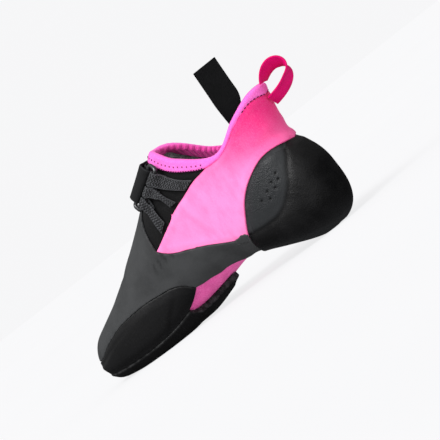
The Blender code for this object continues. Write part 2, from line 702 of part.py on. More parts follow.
def make_heel_cup():
    rim = through(CUP_TOP)
    front = through(CUP_FRONT)
    outline = front + rim + behind(rim)[1:] + behind(front)
    outline += lattice_run(2 * HEEL - CUP_FRONT[0].station, CUP_FRONT[0].station, -1)
    full = SKIN_CLEARANCE + CUP_THICKNESS
    return covering("heel_cup", outline, SKIN_CLEARANCE, lambda s, h: full - CUP_DISH_DEPTH * dish(s, h),
                    CUP_RUBBER, floor=True)


def make_quarter():
    """The pink side panels, one piece round the heel above the cup."""
    band = at_lattice(BAND_TOP)
    rim = through(CUP_TOP)
    low = band + rim + behind(rim)[1:] + behind(band)
    front = through(QUARTER_FRONT)
    binding = [p for p in at_lattice(BINDING_LOW) if p[0] > QUARTER_FRONT[-1].station + 0.1]
    high = front + binding + behind(binding)[1:] + behind(front)
    outline = low + list(reversed(high))
    return covering("quarter", outline, SKIN_CLEARANCE, SKIN_CLEARANCE + QUARTER_THICKNESS, PINK_FIBRE)


def make_binding():
    """A soft band folded over the collar's edge."""
    low_edge = at_lattice(BINDING_LOW)
    rim = lattice_run(THROAT, 2 * HEEL - THROAT, 1)
    outline = lattice_run(2 * HEEL - BINDING_LOW[0].station, 2 * HEEL - THROAT, 1)[:-1]
    outline += list(reversed(rim)) + lattice_run(THROAT, BINDING_LOW[0].station, 1)[1:]
    outline += low_edge[1:] + behind(low_edge)[1:-1]
    outline = tidy_outline(outline)
    places, faces = triangulated(outline)
    s, h = places[:, 0], places[:, 1]
    room, thick = BINDING_CLEARANCE, BINDING_THICKNESS
    within = UPPER_WALL + INNER_CLEARANCE
    heights = (room + thick, room, -within, -within - thick)
    layers = [LAST.place(s, h, height) for height in heights]
    count = len(places)
    around = np.abs((s + HEEL) % (2 * HEEL) - HEEL)
    on_rim = (h >= 1) & (around >= THROAT)
    joined = joined_ends(places)
    step = 0.02
    ahead = LAST.surface(np.minimum(s + step, 2 * HEEL - THROAT), h)
    back = LAST.surface(np.maximum(s - step, THROAT), h)
    along = ahead - back
    along[around <= THROAT] = (0, 1, 0)
    past = unit(np.cross(along, LAST.place(s, h, 1) - LAST.place(s, h, 0)))
    lifts = (room + thick, room, room, room + thick)
    raised = [layer + past * lift for layer, lift in zip(layers, lifts)]
    flip = [list(reversed(face)) for face in faces]
    shapes = []
    for i, pattern in enumerate((faces, flip, faces, flip)):
        shapes += [[i * count + v for v in face] for face in pattern]
    top = 4 * count
    for a, b in border_of(faces):
        if on_rim[a] and on_rim[b]:
            for i, j in ((0, 3), (1, 2)):
                shapes.append([b + i * count, a + i * count, a + top + i * count, b + top + i * count])
                shapes.append([top + b + i * count, top + a + i * count, top + a + j * count,
                               top + b + j * count])
                shapes.append([a + j * count, b + j * count, b + top + j * count, a + top + j * count])
        elif not (joined[a] and joined[b]):
            for i, j in ((0, 1), (2, 3)):
                shapes.append([b + i * count, a + i * count, a + j * count, b + j * count])
    return body("collar_binding", np.concatenate(layers + raised), shapes, PINK_BINDING)


def strip(name, middles, thickness, look):
    """A flat band of one thickness through a grid of points, rows along it and columns across it."""
    middles = np.asarray(middles)
    rows, columns = middles.shape[:2]
    run = np.gradient(middles, axis=0)
    wide = np.gradient(middles, axis=1)
    normals = unit(np.cross(run, wide)) * thickness / 2
    layers = np.concatenate([(middles + normals).reshape(-1, 3), (middles - normals).reshape(-1, 3)])
    half = rows * columns
    faces = []
    for i in range(rows - 1):
        for j in range(columns - 1):
            a = i * columns + j
            ring = [a, a + columns, a + columns + 1, a + 1]
            faces += [ring, [half + v for v in reversed(ring)]]
    border = [i * columns for i in range(rows)]
    border += [(rows - 1) * columns + j for j in range(1, columns)]
    border += [i * columns + columns - 1 for i in range(rows - 2, -1, -1)]
    border += list(range(columns - 2, 0, -1))
    for a, b in zip(border, border[1:] + border[:1]):
        faces.append([a, half + a, half + b, b])
    return body(name, layers, faces, look)


def foot_below(point):
    """The place (s, h) of the surface nearest to a point over the closure."""
    low, high = np.array(BAR_AREA)
    centre, reach = (low + high) / 2, (high - low) / 2
    for _ in range(6):
        steps = np.linspace(-1, 1, 9)
        s, h = np.meshgrid(centre[0] + reach[0] * steps, np.minimum(centre[1] + reach[1] * steps, 1))
        found = LAST.surface(s.ravel(), h.ravel())
        nearest = np.argmin(np.linalg.norm(found - point, axis=1))
        centre = np.array([s.ravel()[nearest], h.ravel()[nearest]])
        reach = reach * 0.35
    return centre


class Ring:
    """The frame of the closure's ring: where its two bars run, and which way is out and up the instep."""

    def __init__(self):
        rear, front = [LAST.place(mark.station, mark.share, BAR_HEIGHT) for mark in NEAR_BAR]
        feet = [LAST.place(mark.station, mark.share, 0) for mark in NEAR_BAR]
        self.start = rear
        self.run = front - rear
        along = unit(self.run)
        out = rear - feet[0] + front - feet[1]
        self.out = unit(out - along * (out @ along))
        up = np.cross(self.out, along)
        self.up = up * np.sign(up[2])
        self.along = along

    def near(self, t):
        return self.start + self.run * t

    def far(self, t):
        return self.near(t) + self.up * BAR_SPACING


RING = Ring()


def make_ring():
    """A slim wire ring with round corners and two long bars."""
    middle = (RING.near(0.5) + RING.far(0.5)) / 2
    half_run = np.linalg.norm(RING.run) / 2 + BAR_OVERRUN + RING_CORNER
    half_rise = BAR_SPACING / 2
    points = []
    for turn, (x, y) in enumerate(((1, 1), (-1, 1), (-1, -1), (1, -1))):
        for part in range(5):
            angle = math.radians(90 * turn + 22.5 * part)
            along = x * (half_run - RING_CORNER) + RING_CORNER * math.cos(angle)
            up = y * (half_rise - RING_CORNER) + RING_CORNER * math.sin(angle)
            points.append(middle + RING.along * along + RING.up * up)
    curve = bpy.data.curves.new("strap_ring", "CURVE")
    curve.dimensions = "3D"
    curve.bevel_depth = BAR_DIAMETER / 2
    curve.bevel_resolution = 2
    line = curve.splines.new("POLY")
    line.points.add(len(points) - 1)
    for point, place in zip(line.points, points):
        point.co = (*place, 1)
    line.use_cyclic_u = True
    curve.materials.append(material(DARK_METAL))
    ring = bpy.data.objects.new("strap_ring", curve)
    SHOE.objects.link(ring)
    return ring


def wrapped(centre, radius, first, last, count):
    """Points round a bar, by angles in degrees from straight out, turning towards the ridge."""
    angles = np.radians(np.linspace(first, last, count))
    return [centre + radius * (math.cos(a) * RING.out + math.sin(a) * RING.up) for a in angles]


def ribbon_path(start, bar_share):
    """One line along a ribbon: from the quarter's edge, over the bar, round it and back underneath."""
    thick = RIBBON_THICKNESS
    low = SKIN_CLEARANCE + thick / 2
    raised = low + thick + 2 * CLEARANCE
    centre = RING.near(bar_share)
    foot = foot_below(centre)
    start = np.array(start)
    length = np.linalg.norm(LAST.surface(*np.array([start]).T) - LAST.surface(*np.array([foot]).T))
    radius = BAR_DIAMETER / 2 + CLEARANCE + thick / 2

    def at(distance, height):
        s, h = foot + (start - foot) * distance / length
        return LAST.place(s, h, height)

    halfway = (length + RIBBON_RETURN) / 2 + RIBBON_SLACK
    over = [at(length, low), at(halfway, (low + raised) / 2)]
    over += [at(rise.share * RIBBON_RETURN, raised + rise.lift) for rise in RIBBON_RISES]
    turned = wrapped(centre, radius, RIBBON_WRAP_START, RIBBON_WRAP_END, 8)
    back = [at(rise.share * RIBBON_RETURN, low + rise.lift) for rise in RIBBON_TAIL]
    return over + turned + back


def make_ribbon(ribbon):
    """A webbing ribbon that holds the near bar in its fold."""
    lines = []
    for t in np.linspace(0, 1, 4):
        start = np.array(ribbon.rear_corner) * (1 - t) + np.array(ribbon.front_corner) * t
        bar_share = ribbon.bar_start * (1 - t) + ribbon.bar_end * t
        lines.append(ribbon_path(start, bar_share))
    return strip(ribbon.name, np.array(lines).transpose(1, 0, 2), RIBBON_THICKNESS, BLACK_TAPE)


def strap_line(t):
    """One line along the strap, at a share of its width: up the outer side, round the far bar and back."""
    gap = STRAP_THICKNESS + STRAP_FOLD_GAP
    shares = [row.share for row in STRAP_ROWS]
    stations = [row.rear * (1 - t) + row.front * t for row in STRAP_ROWS]
    heights = [row.height for row in STRAP_ROWS]

    def beside(share, lift):
        station = np.interp(share, shares, stations)
        return LAST.place(station, share, np.interp(share, shares, heights) + lift)

    centre = RING.far(0.03 + 0.94 * t)
    radius = BAR_DIAMETER / 2 + CLEARANCE + STRAP_THICKNESS / 2
    lower = [beside(share, 0) for share in shares]
    upper = [beside(share, gap) for share in (1, 0.9, 0.8, 0.72, STRAP_TIP)]
    inward = np.array([0, -1, 0])
    under = centre - RING.out * radius
    span = np.linalg.norm(under - lower[-1])
    rise = [hermite(lower[-1], under, inward * span, -RING.up * span, u) for u in (0.25, 0.5, 0.75, 1)]
    over = centre + RING.out * radius
    span = np.linalg.norm(over - upper[0])
    fall = [hermite(over, upper[0], RING.up * span, -inward * span, u) for u in (0, 0.25, 0.5, 0.75)]
    return lower + rise + wrapped(centre, radius, 180, 360, 7)[1:-1] + fall + upper


def make_strap():
    """The closure strap, which goes through the ring and lies back over itself."""
    lines = np.array([strap_line(t) for t in np.linspace(0, 1, 5)])
    return strip("closure_strap", lines.transpose(1, 0, 2), STRAP_THICKNESS, BLACK_TAPE)


def make_collar_tab():
    """A flat tape sewn inside the collar, which stands up over it."""
    depth = UPPER_WALL + INNER_CLEARANCE + BINDING_THICKNESS + 2 * CLEARANCE + PULL_THICKNESS / 2
    across_tab = np.linspace(-0.5, 0.5, 5) * TAB_WIDTH
    place = np.array([TAB_STATION])
    along = LAST.scales(place, place * 0 + 1)[0][0]
    wall = LAST.section(place, place * 0 + 1)[2][0]
    stations = TAB_STATION + across_tab / along
    rows = [LAST.place(stations, 1 - TAB_SEAT * seat / wall, -depth) for seat in (1, 0.6, 0.3, 0)]
    rim = rows[-1]
    level = unit((rim[-1] - rim[0]) * (1, 1, 0))
    up = np.array([0, math.sin(TAB_LEAN), math.cos(TAB_LEAN)])
    for height in np.array([0.08, 0.18, 0.32, 0.55, 1]) * TAB_FREE_LENGTH:
        flat = rim.mean(0) + across_tab[:, None] * level + up * height
        t = min(height / (0.32 * TAB_FREE_LENGTH), 1)
        t = t * t * (3 - 2 * t)
        rows.append((rim + up * height) * (1 - t) + flat * t)
    return strip("collar_pull_tab", rows, PULL_THICKNESS, BLACK_TAPE)


def direction(round_way, up_way):
    """A unit vector from degrees round from the heel's way and degrees up from level."""
    a, b = math.radians(round_way), math.radians(up_way)
    return np.array([math.cos(b) * math.cos(a), math.cos(b) * math.sin(a), math.sin(b)])


def loop_point(turn, width_share):
    """A point on the heel loop's middle surface, by degrees round it from the seat and share of its width."""
    half = np.radians(turn)[..., None] / 2
    reach = direction(HEEL_LOOP.reach_round, HEEL_LOOP.reach_up)
    side = unit(np.cross((0, 0, 1), reach))
    roll = math.radians(HEEL_LOOP.roll)
    spread = np.cross(reach, side) * math.cos(roll) + side * math.sin(roll)

    def middle(half):
        out = HEEL_LOOP_REACH * np.sin(half)**2
        wide = HEEL_LOOP_SPREAD * np.sin(2 * half) * np.sin(half)**LOOP_NARROWING / 2
        apart = (PULL_THICKNESS + CLEARANCE) / 2 * np.cos(half)
        seat = LAST.place(HEEL, HEEL_LOOP.seat_share, -HEEL_LOOP.depth)
        return seat + reach * out + spread * (wide + apart)

    step = 0.01
    ahead, back = np.minimum(half + step, math.pi), np.maximum(half - step, 0)
    run = unit(middle(ahead) - middle(back))
    far = np.sin(half)**2
    width = direction(HEEL_LOOP.seat_round, HEEL_LOOP.seat_up) * (1 - far)
    width = width + direction(HEEL_LOOP.end_round, HEEL_LOOP.end_up) * far
    width = unit(width - run * (run * width).sum(-1)[..., None])
    return middle(half) + width * HEEL_LOOP_WIDTH * width_share


def make_heel_loop():
    """A tape loop behind the heel. Its two ends stop at the seam, so each line across it starts there."""
    room = SKIN_CLEARANCE + QUARTER_THICKNESS + 2.5 * CLEARANCE + PULL_THICKNESS / 2
    seam = LAST.place(HEEL, np.linspace(0.6, 1, 21), room)
    turns = np.linspace(0, 360, 361)
    lines = []
    for width_share in (-0.5, -0.25, 0, 0.25, 0.5):
        fine = loop_point(turns, width_share)
        clear = np.flatnonzero(fine[:, 0] > np.interp(fine[:, 2], seam[:, 2], seam[:, 0]))
        lines.append(loop_point(np.linspace(turns[clear[0]], turns[clear[-1]], 21), width_share))
    return strip("heel_pull_loop", np.array(lines).transpose(1, 0, 2), PULL_THICKNESS, MAGENTA_TAPE)


def stand_at_origin():
    """Move every object so that the middle of the bounding box's bottom is at the origin."""
    graph = bpy.context.evaluated_depsgraph_get()
    corners = []
    for made in SHOE.objects:
        solid = made.evaluated_get(graph)
        mesh = solid.to_mesh()
        corners += [made.matrix_world @ v.co for v in mesh.vertices]
        solid.to_mesh_clear()
    low = [min(c[i] for c in corners) for i in range(3)]
    high = [max(c[i] for c in corners) for i in range(3)]
    for made in SHOE.objects:
        made.location -= Vector(((low[0] + high[0]) / 2, (low[1] + high[1]) / 2, low[2]))


SHOE = bpy.data.collections.new("climbing_shoe")


def main():
    for old in list(bpy.data.objects):
        bpy.data.objects.remove(old, do_unlink=True)
    bpy.context.scene.collection.children.link(SHOE)
    make_upper()
    make_insole()
    make_outsole()
    make_toe_rand()
    make_vamp_rubber()
    make_heel_cup()
    make_quarter()
    make_binding()
    make_ring()
    for ribbon in RIBBONS:
        make_ribbon(ribbon)
    make_strap()
    make_heel_loop()
    make_collar_tab()
    bpy.context.view_layer.update()
    stand_at_origin()


main()
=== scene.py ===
"""Looks of the climbing shoe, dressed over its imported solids.

The coverings are cut again from the same last as the solids, on a much finer lattice and with rounded
edges. A place on the last is a pair (s, h), as in the part's source: the station s runs from 0 at the toe
tip to -12 along the inner side and 12 along the outer side, both at the middle of the heel, and the share h
is -1 at the keel line under the foot, 0 at the foot edge and 1 at the top line.
"""

import math
from collections import namedtuple

import bmesh
import bpy
import numpy as np
from mathutils import Matrix, Vector, noise
from mathutils.geometry import delaunay_2d_cdt


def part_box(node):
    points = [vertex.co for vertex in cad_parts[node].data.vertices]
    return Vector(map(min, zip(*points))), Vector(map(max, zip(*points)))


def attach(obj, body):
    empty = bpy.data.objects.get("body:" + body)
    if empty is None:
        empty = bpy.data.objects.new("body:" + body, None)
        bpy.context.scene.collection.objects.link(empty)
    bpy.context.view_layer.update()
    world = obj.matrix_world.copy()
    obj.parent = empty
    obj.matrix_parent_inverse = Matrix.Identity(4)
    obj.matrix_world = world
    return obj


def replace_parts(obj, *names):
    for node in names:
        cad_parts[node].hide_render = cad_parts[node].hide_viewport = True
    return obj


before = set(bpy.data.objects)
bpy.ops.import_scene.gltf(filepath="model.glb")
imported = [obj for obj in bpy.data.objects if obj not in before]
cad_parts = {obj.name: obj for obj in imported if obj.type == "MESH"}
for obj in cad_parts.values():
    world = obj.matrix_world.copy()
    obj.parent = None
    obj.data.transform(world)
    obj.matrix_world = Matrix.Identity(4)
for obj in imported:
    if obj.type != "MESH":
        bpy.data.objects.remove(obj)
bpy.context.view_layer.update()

# Driving sizes of the last, in metres
LAST_LENGTH = 0.232
BALL_WIDTH = 0.084
HEEL_WIDTH = 0.062
INSTEP_HEIGHT = 0.107
HEEL_HEIGHT = 0.097

# Thicknesses of the materials
UPPER_WALL = 0.0020
INSOLE_THICKNESS = 0.0020
OUTSOLE_THICKNESS = 0.0042
RAND_THICKNESS = 0.0021
VAMP_THICKNESS = 0.0012
QUARTER_THICKNESS = 0.0010
CUP_THICKNESS = 0.0027
BINDING_THICKNESS = 0.0010
RIBBON_THICKNESS = 0.0012
STRAP_THICKNESS = 0.0014
PULL_THICKNESS = 0.0012
CLEARANCE = 0.0003
SKIN_CLEARANCE = 0.00055
INNER_CLEARANCE = 0.0007
BINDING_CLEARANCE = 0.0007

# Closure
BAR_DIAMETER = 0.0028
BAR_SPACING = 0.0065
BAR_HEIGHT = 0.0054
BAR_OVERRUN = 0.0006
RING_CORNER = 0.0018
RIBBON_RETURN = 0.0070
STRAP_LIFT = 0.0025
STRAP_FOLD_GAP = 0.00035

# Heel loop and collar tab
HEEL_LOOP_WIDTH = 0.0108
HEEL_LOOP_REACH = 0.0305
HEEL_LOOP_SPREAD = 0.0180
TAB_WIDTH = 0.0175
TAB_FREE_LENGTH = 0.0380
TAB_SEAT = 0.0120
TAB_LEAN = math.radians(7)

# One row for each station from the toe back to the heel: the direction in which its section looks out from
# the spine, in degrees, the place of the spine as shares of the length and width, and the heights of the
# keel line and the ridge line as shares of the height, all in hundredths. The share called rear is how much
# of the local width and height comes from the heel, the rest being from the ball and the instep.
Station = namedtuple("Station", "look spine_x spine_y keel ridge rear")
STATIONS = (
    Station(180, 14.4, -13.0, 6.6, 33.5, 0),
    Station(152, 14.8, -13.0, 6.4, 34.0, 0),
    Station(124, 16.4, -12.5, 5.6, 35.8, 0),
    Station(102, 20.6, -11.5, 4.4, 40.6, 0),
    Station(90, 28.0, -9.0, 4.0, 50.8, 0),
    Station(90, 38.0, -5.0, 5.4, 66.0, 0),
    Station(90, 48.5, -1.5, 11.0, 83.5, 0),
    Station(90, 57.0, 0.0, 15.5, 101, 15),
    Station(90, 66.0, 1.0, 17.0, 101, 45),
    Station(85, 76.5, 1.0, 10.5, 101, 80),
    Station(62, 83.5, 0.5, 4.4, 101, 100),
    Station(31, 85.5, 0.0, 3.1, 101, 100),
    Station(0, 85.7, 0.0, 3.0, 101, 100),
)

# The wall of each section: how far out from the spine, in hundredths of the local width, and how high, in
# hundredths of the local height, lie the foot edge, the widest place, the shoulder and the collar.
Wall = namedtuple("Wall", "foot_out foot_up wide_out wide_up shoulder_out shoulder_up collar_out collar_up")
TOE_WALL = Wall(29.5, 9.0, 32.0, 14.5, 23.0, 26.5, 0, 0)
INNER_WALLS = (
    Wall(28.0, 8.6, 30.5, 15.0, 22.5, 27.5, 0, 0),
    Wall(27.5, 7.4, 31.0, 15.5, 23.0, 30.0, 0, 0),
    Wall(29.0, 6.6, 33.5, 17.0, 24.5, 35.0, 0, 0),
    Wall(33.0, 6.4, 38.0, 20.5, 27.5, 43.5, 0, 0),
    Wall(29.5, 9.0, 37.0, 26.5, 28.5, 56.5, 0, 0),
    Wall(23.5, 16.0, 34.5, 33.5, 28.0, 71.0, 0, 0),
    Wall(21.8, 20.5, 34.5, 37.5, 29.6, 82.5, 0, 101),
    Wall(25.5, 21.0, 37.5, 37.5, 34.5, 69.0, 30.0, 90.5),
    Wall(33.0, 15.0, 42.5, 36.0, 38.3, 66.0, 33.5, 80.0),
    Wall(36.0, 8.8, 45.0, 35.5, 36.5, 69.0, 33.5, 92.5),
    Wall(33.0, 7.2, 44.0, 35.5, 33.0, 70.0, 36.0, 98.5),
)
OUTER_WALLS = (
    Wall(33.0, 8.6, 36.0, 14.5, 26.5, 27.0, 0, 0),
    Wall(38.5, 7.4, 42.0, 14.5, 29.5, 29.0, 0, 0),
    Wall(44.0, 6.8, 48.5, 15.5, 33.5, 32.5, 0, 0),
    Wall(48.5, 7.2, 53.5, 18.0, 37.5, 39.0, 0, 0),
    Wall(44.0, 10.5, 50.5, 23.5, 37.0, 51.0, 0, 0),
    Wall(35.5, 16.0, 43.5, 29.5, 33.5, 65.5, 0, 0),
    Wall(31.5, 19.0, 41.0, 34.0, 33.0, 79.0, 0, 101),
    Wall(31.5, 19.5, 42.5, 35.5, 38.0, 66.0, 32.0, 83.0),
    Wall(36.0, 14.5, 46.0, 35.0, 40.0, 62.0, 34.5, 77.0),
    Wall(37.0, 8.8, 44.5, 35.5, 35.5, 67.0, 34.0, 90.0),
    Wall(33.0, 7.2, 43.0, 35.5, 31.0, 69.0, 37.0, 98.0),
)
HEEL_WALL = Wall(27.0, 7.0, 42.5, 36.5, 30.5, 70.0, 39.5, 99.5)

HEEL = len(STATIONS) - 1
THROAT = 7
SEGMENT_STEPS = 12

# How finely the last is tabulated: steps a station, rows under the foot and rows up the wall
TABLE_STEPS = 40
TABLE_FOOT = 40
TABLE_WALL = 61

# Edges on the surface as (station, share) from front to back, read the same on the inner and outer side
Mark = namedtuple("Mark", "station share")
FOOT_EDGE_SHARE = 0.03
RAND_TOP = (
    Mark(0, 0.24), Mark(1, 0.25), Mark(1.9, 0.29), Mark(2.4, 0.36), Mark(2.9, 0.4),
    Mark(3.5, 0.415), Mark(4.2, 0.38), Mark(4.7, 0.34), Mark(5.1, 0.29), Mark(5.45, 0.24),
    Mark(5.75, 0.175), Mark(5.95, 0.085),
)
RAND_END = (Mark(5.95, 0.085), Mark(5.65, 0.05), Mark(5.34, FOOT_EDGE_SHARE))
BAND_TOP = (
    Mark(5.78, 0.48), Mark(5.87, 0.44), Mark(6.07, 0.3775), Mark(6.33, 0.3225), Mark(6.62, 0.28),
    Mark(6.92, 0.24), Mark(7.08, 0.2375), Mark(7.37, 0.2275), Mark(7.75, 0.205), Mark(8.1, 0.178),
    Mark(8.5, 0.16),
)
BAND_FRONT = (
    Mark(5.95, 0.085), Mark(6.16, 0.055), Mark(6.58, 0.015), Mark(7.06, -0.06), Mark(7.42, -0.24),
    Mark(7.56, -0.6), Mark(7.58, -1),
)
SOLE_END = (
    Mark(5.34, FOOT_EDGE_SHARE), Mark(5.46, -0.18), Mark(5.74, -0.46), Mark(6.15, -0.76), Mark(6.6, -1),
)
CUP_FRONT = (Mark(8.25, -1), Mark(8.3, -0.5), Mark(8.4, 0), Mark(8.5, 0.16))
CUP_TOP = (
    Mark(8.5, 0.16), Mark(8.73, 0.32), Mark(9, 0.5), Mark(9.26, 0.6), Mark(9.55, 0.645), Mark(9.9, 0.66),
    Mark(10.25, 0.655), Mark(10.65, 0.635), Mark(11.15, 0.61), Mark(12, 0.59),
)
QUARTER_FRONT = (
    Mark(5.78, 0.48), Mark(6.2, 0.475), Mark(6.6, 0.4725), Mark(6.93, 0.48), Mark(7.07, 0.5175),
    Mark(7.3, 0.572), Mark(7.6, 0.645), Mark(7.9, 0.73), Mark(8.2, 0.812), Mark(8.45, 0.88),
    Mark(8.65, 0.935),
)
BINDING_LOW = (
    Mark(6.78, 1), Mark(6.84, 0.95), Mark(7.02, 0.905), Mark(7.35, 0.885), Mark(7.9, 0.9),
    Mark(8.3, 0.91), Mark(8.65, 0.935), Mark(9, 0.972), Mark(9.5, 0.978), Mark(10.5, 0.978),
    Mark(11, 0.972), Mark(11.5, 0.956), Mark(12, 0.942),
)
VAMP_END = 5.78

# The closure lies on the inner side. The ribbons hold a bar that runs between two places, rear and front
NEAR_BAR = (Mark(-7.32, 0.845), Mark(-6.35, 0.687))
BAR_AREA = (Mark(-8.0, 0.5), Mark(-5.8, 1))

# Each ribbon: the shares of the bar where it starts and ends, and its far corners by the quarter's edge
Ribbon = namedtuple("Ribbon", "name bar_start bar_end rear_corner front_corner")
RIBBONS = (
    Ribbon("ribbon_upper", 0.00, 0.37, Mark(-8.17, 0.820), Mark(-7.81, 0.720)),
    Ribbon("ribbon_middle", 0.42, 0.69, Mark(-7.35, 0.608), Mark(-7.09, 0.562)),
    Ribbon("ribbon_lower", 0.74, 1.00, Mark(-6.62, 0.508), Mark(-6.27, 0.497)),
)

# Near the bar a ribbon rises from the shoe, and its folded tail lies under it: shares of the length that it
# is folded back, and how far it is lifted there. The wrap round the bar is in degrees from straight out
Rise = namedtuple("Rise", "share lift")
RIBBON_RISES = (Rise(1, 0), Rise(0.7, 0.0004), Rise(0.45, 0.0019))
RIBBON_TAIL = (Rise(0.42, 0.0003), Rise(0.65, 0), Rise(0.9, 0))
RIBBON_SLACK = 0.001
RIBBON_WRAP_START = -35
RIBBON_WRAP_END = 205

# The strap over the outer side: its share, the stations of its two edges and its height over the surface,
# from the quarter's edge up to the ridge. Its free end lies back over it down to a last share.
StrapRow = namedtuple("StrapRow", "share rear front height")
STRAP_ROWS = (
    StrapRow(0.525, 6.86, 5.98, 0.00125), StrapRow(0.6, 6.85, 5.96, 0.00125),
    StrapRow(0.7, 6.82, 5.93, 0.00130), StrapRow(0.8, 6.79, 5.90, 0.00155),
    StrapRow(0.9, 6.75, 5.87, 0.0021), StrapRow(1, 6.72, 5.85, STRAP_LIFT),
)
STRAP_TIP = 0.66
TAB_STATION = -10.2

# The heel loop: the ways, in degrees round from straight back and up from level, in which it reaches and in
# which the tape's width lies at its seat and at its far end, and how far its legs roll about its reach.
# Its centre line starts at a depth under the surface, and only the part outside the seam is made
LoopShape = namedtuple(
    "LoopShape", "seat_share depth reach_round reach_up roll seat_round seat_up end_round end_up")
HEEL_LOOP = LoopShape(0.865, 0.003, 12, 31, -5, -24, 31, -57, 46)
LOOP_NARROWING = 1.25

def station_at(k):
    return STATIONS[abs(k)]


def wall_at(k):
    if k == 0:
        return TOE_WALL
    if abs(k) == HEEL:
        return HEEL_WALL
    return INNER_WALLS[-k - 1] if k < 0 else OUTER_WALLS[k - 1]


def local_width(k):
    rear = station_at(k).rear / 100
    return BALL_WIDTH * (1 - rear) + HEEL_WIDTH * rear


def local_height(k):
    rear = station_at(k).rear / 100
    return INSTEP_HEIGHT * (1 - rear) + HEEL_HEIGHT * rear


def unit(v):
    return v / np.maximum(np.linalg.norm(v, axis=-1, keepdims=True), 1e-12)


def hermite(p, q, m, n, t):
    """The cubic from p to q that leaves along m and arrives along n."""
    start = 2 * t**3 - 3 * t**2 + 1
    return start * p + (1 - start) * q + (t**3 - 2 * t**2 + t) * m + (t**3 - t**2) * n


class LoopCurve:
    """A smooth curve through one value at each station, all the way round the shoe."""

    def __init__(self, value_at, turn=0.0):
        self.count = 2 * HEEL
        self.turn = turn
        self.values = np.array([value_at(k) for k in range(-HEEL, HEEL)], float)
        self.values -= turn * np.arange(self.count) / self.count
        same = np.eye(self.count)
        system = 4 * same + np.roll(same, 1, 0) + np.roll(same, -1, 0)
        bend = np.roll(self.values, -1) - 2 * self.values + np.roll(self.values, 1)
        self.bends = np.linalg.solve(system, 6 * bend)

    def __call__(self, s):
        place = np.asarray(s, float) + HEEL
        low = np.floor(place).astype(int)
        t = place - low
        a = low % self.count
        b = (low + 1) % self.count
        value = (1 - t) * self.values[a] + t * self.values[b]
        value += ((1 - t)**3 - (1 - t)) * self.bends[a] / 6 + (t**3 - t) * self.bends[b] / 6
        return value + self.turn * place / self.count


class LineCurve:
    """A smooth curve of height against the place along the shoe, which also gives its slope."""

    def __init__(self, x, z):
        self.x = np.asarray(x, float)
        self.z = np.asarray(z, float)
        count = len(x)
        step = np.diff(self.x)
        rise = np.diff(self.z) / step
        system = np.eye(count)
        bend = np.zeros(count)
        for i in range(1, count - 1):
            system[i, i - 1:i + 2] = step[i - 1], 2 * (step[i - 1] + step[i]), step[i]
            bend[i] = 6 * (rise[i] - rise[i - 1])
        self.bends = np.linalg.solve(system, bend)

    def __call__(self, x):
        i = np.clip(np.searchsorted(self.x, x) - 1, 0, len(self.x) - 2)
        step = self.x[i + 1] - self.x[i]
        t = (x - self.x[i]) / step
        a = self.bends[i] * step**2 / 6
        b = self.bends[i + 1] * step**2 / 6
        rise = self.z[i + 1] - self.z[i]
        height = self.z[i] + t * rise + ((1 - t)**3 - (1 - t)) * a + (t**3 - t) * b
        slope = (rise + (1 - 3 * (1 - t)**2) * a + (3 * t**2 - 1) * b) / step
        return height, slope


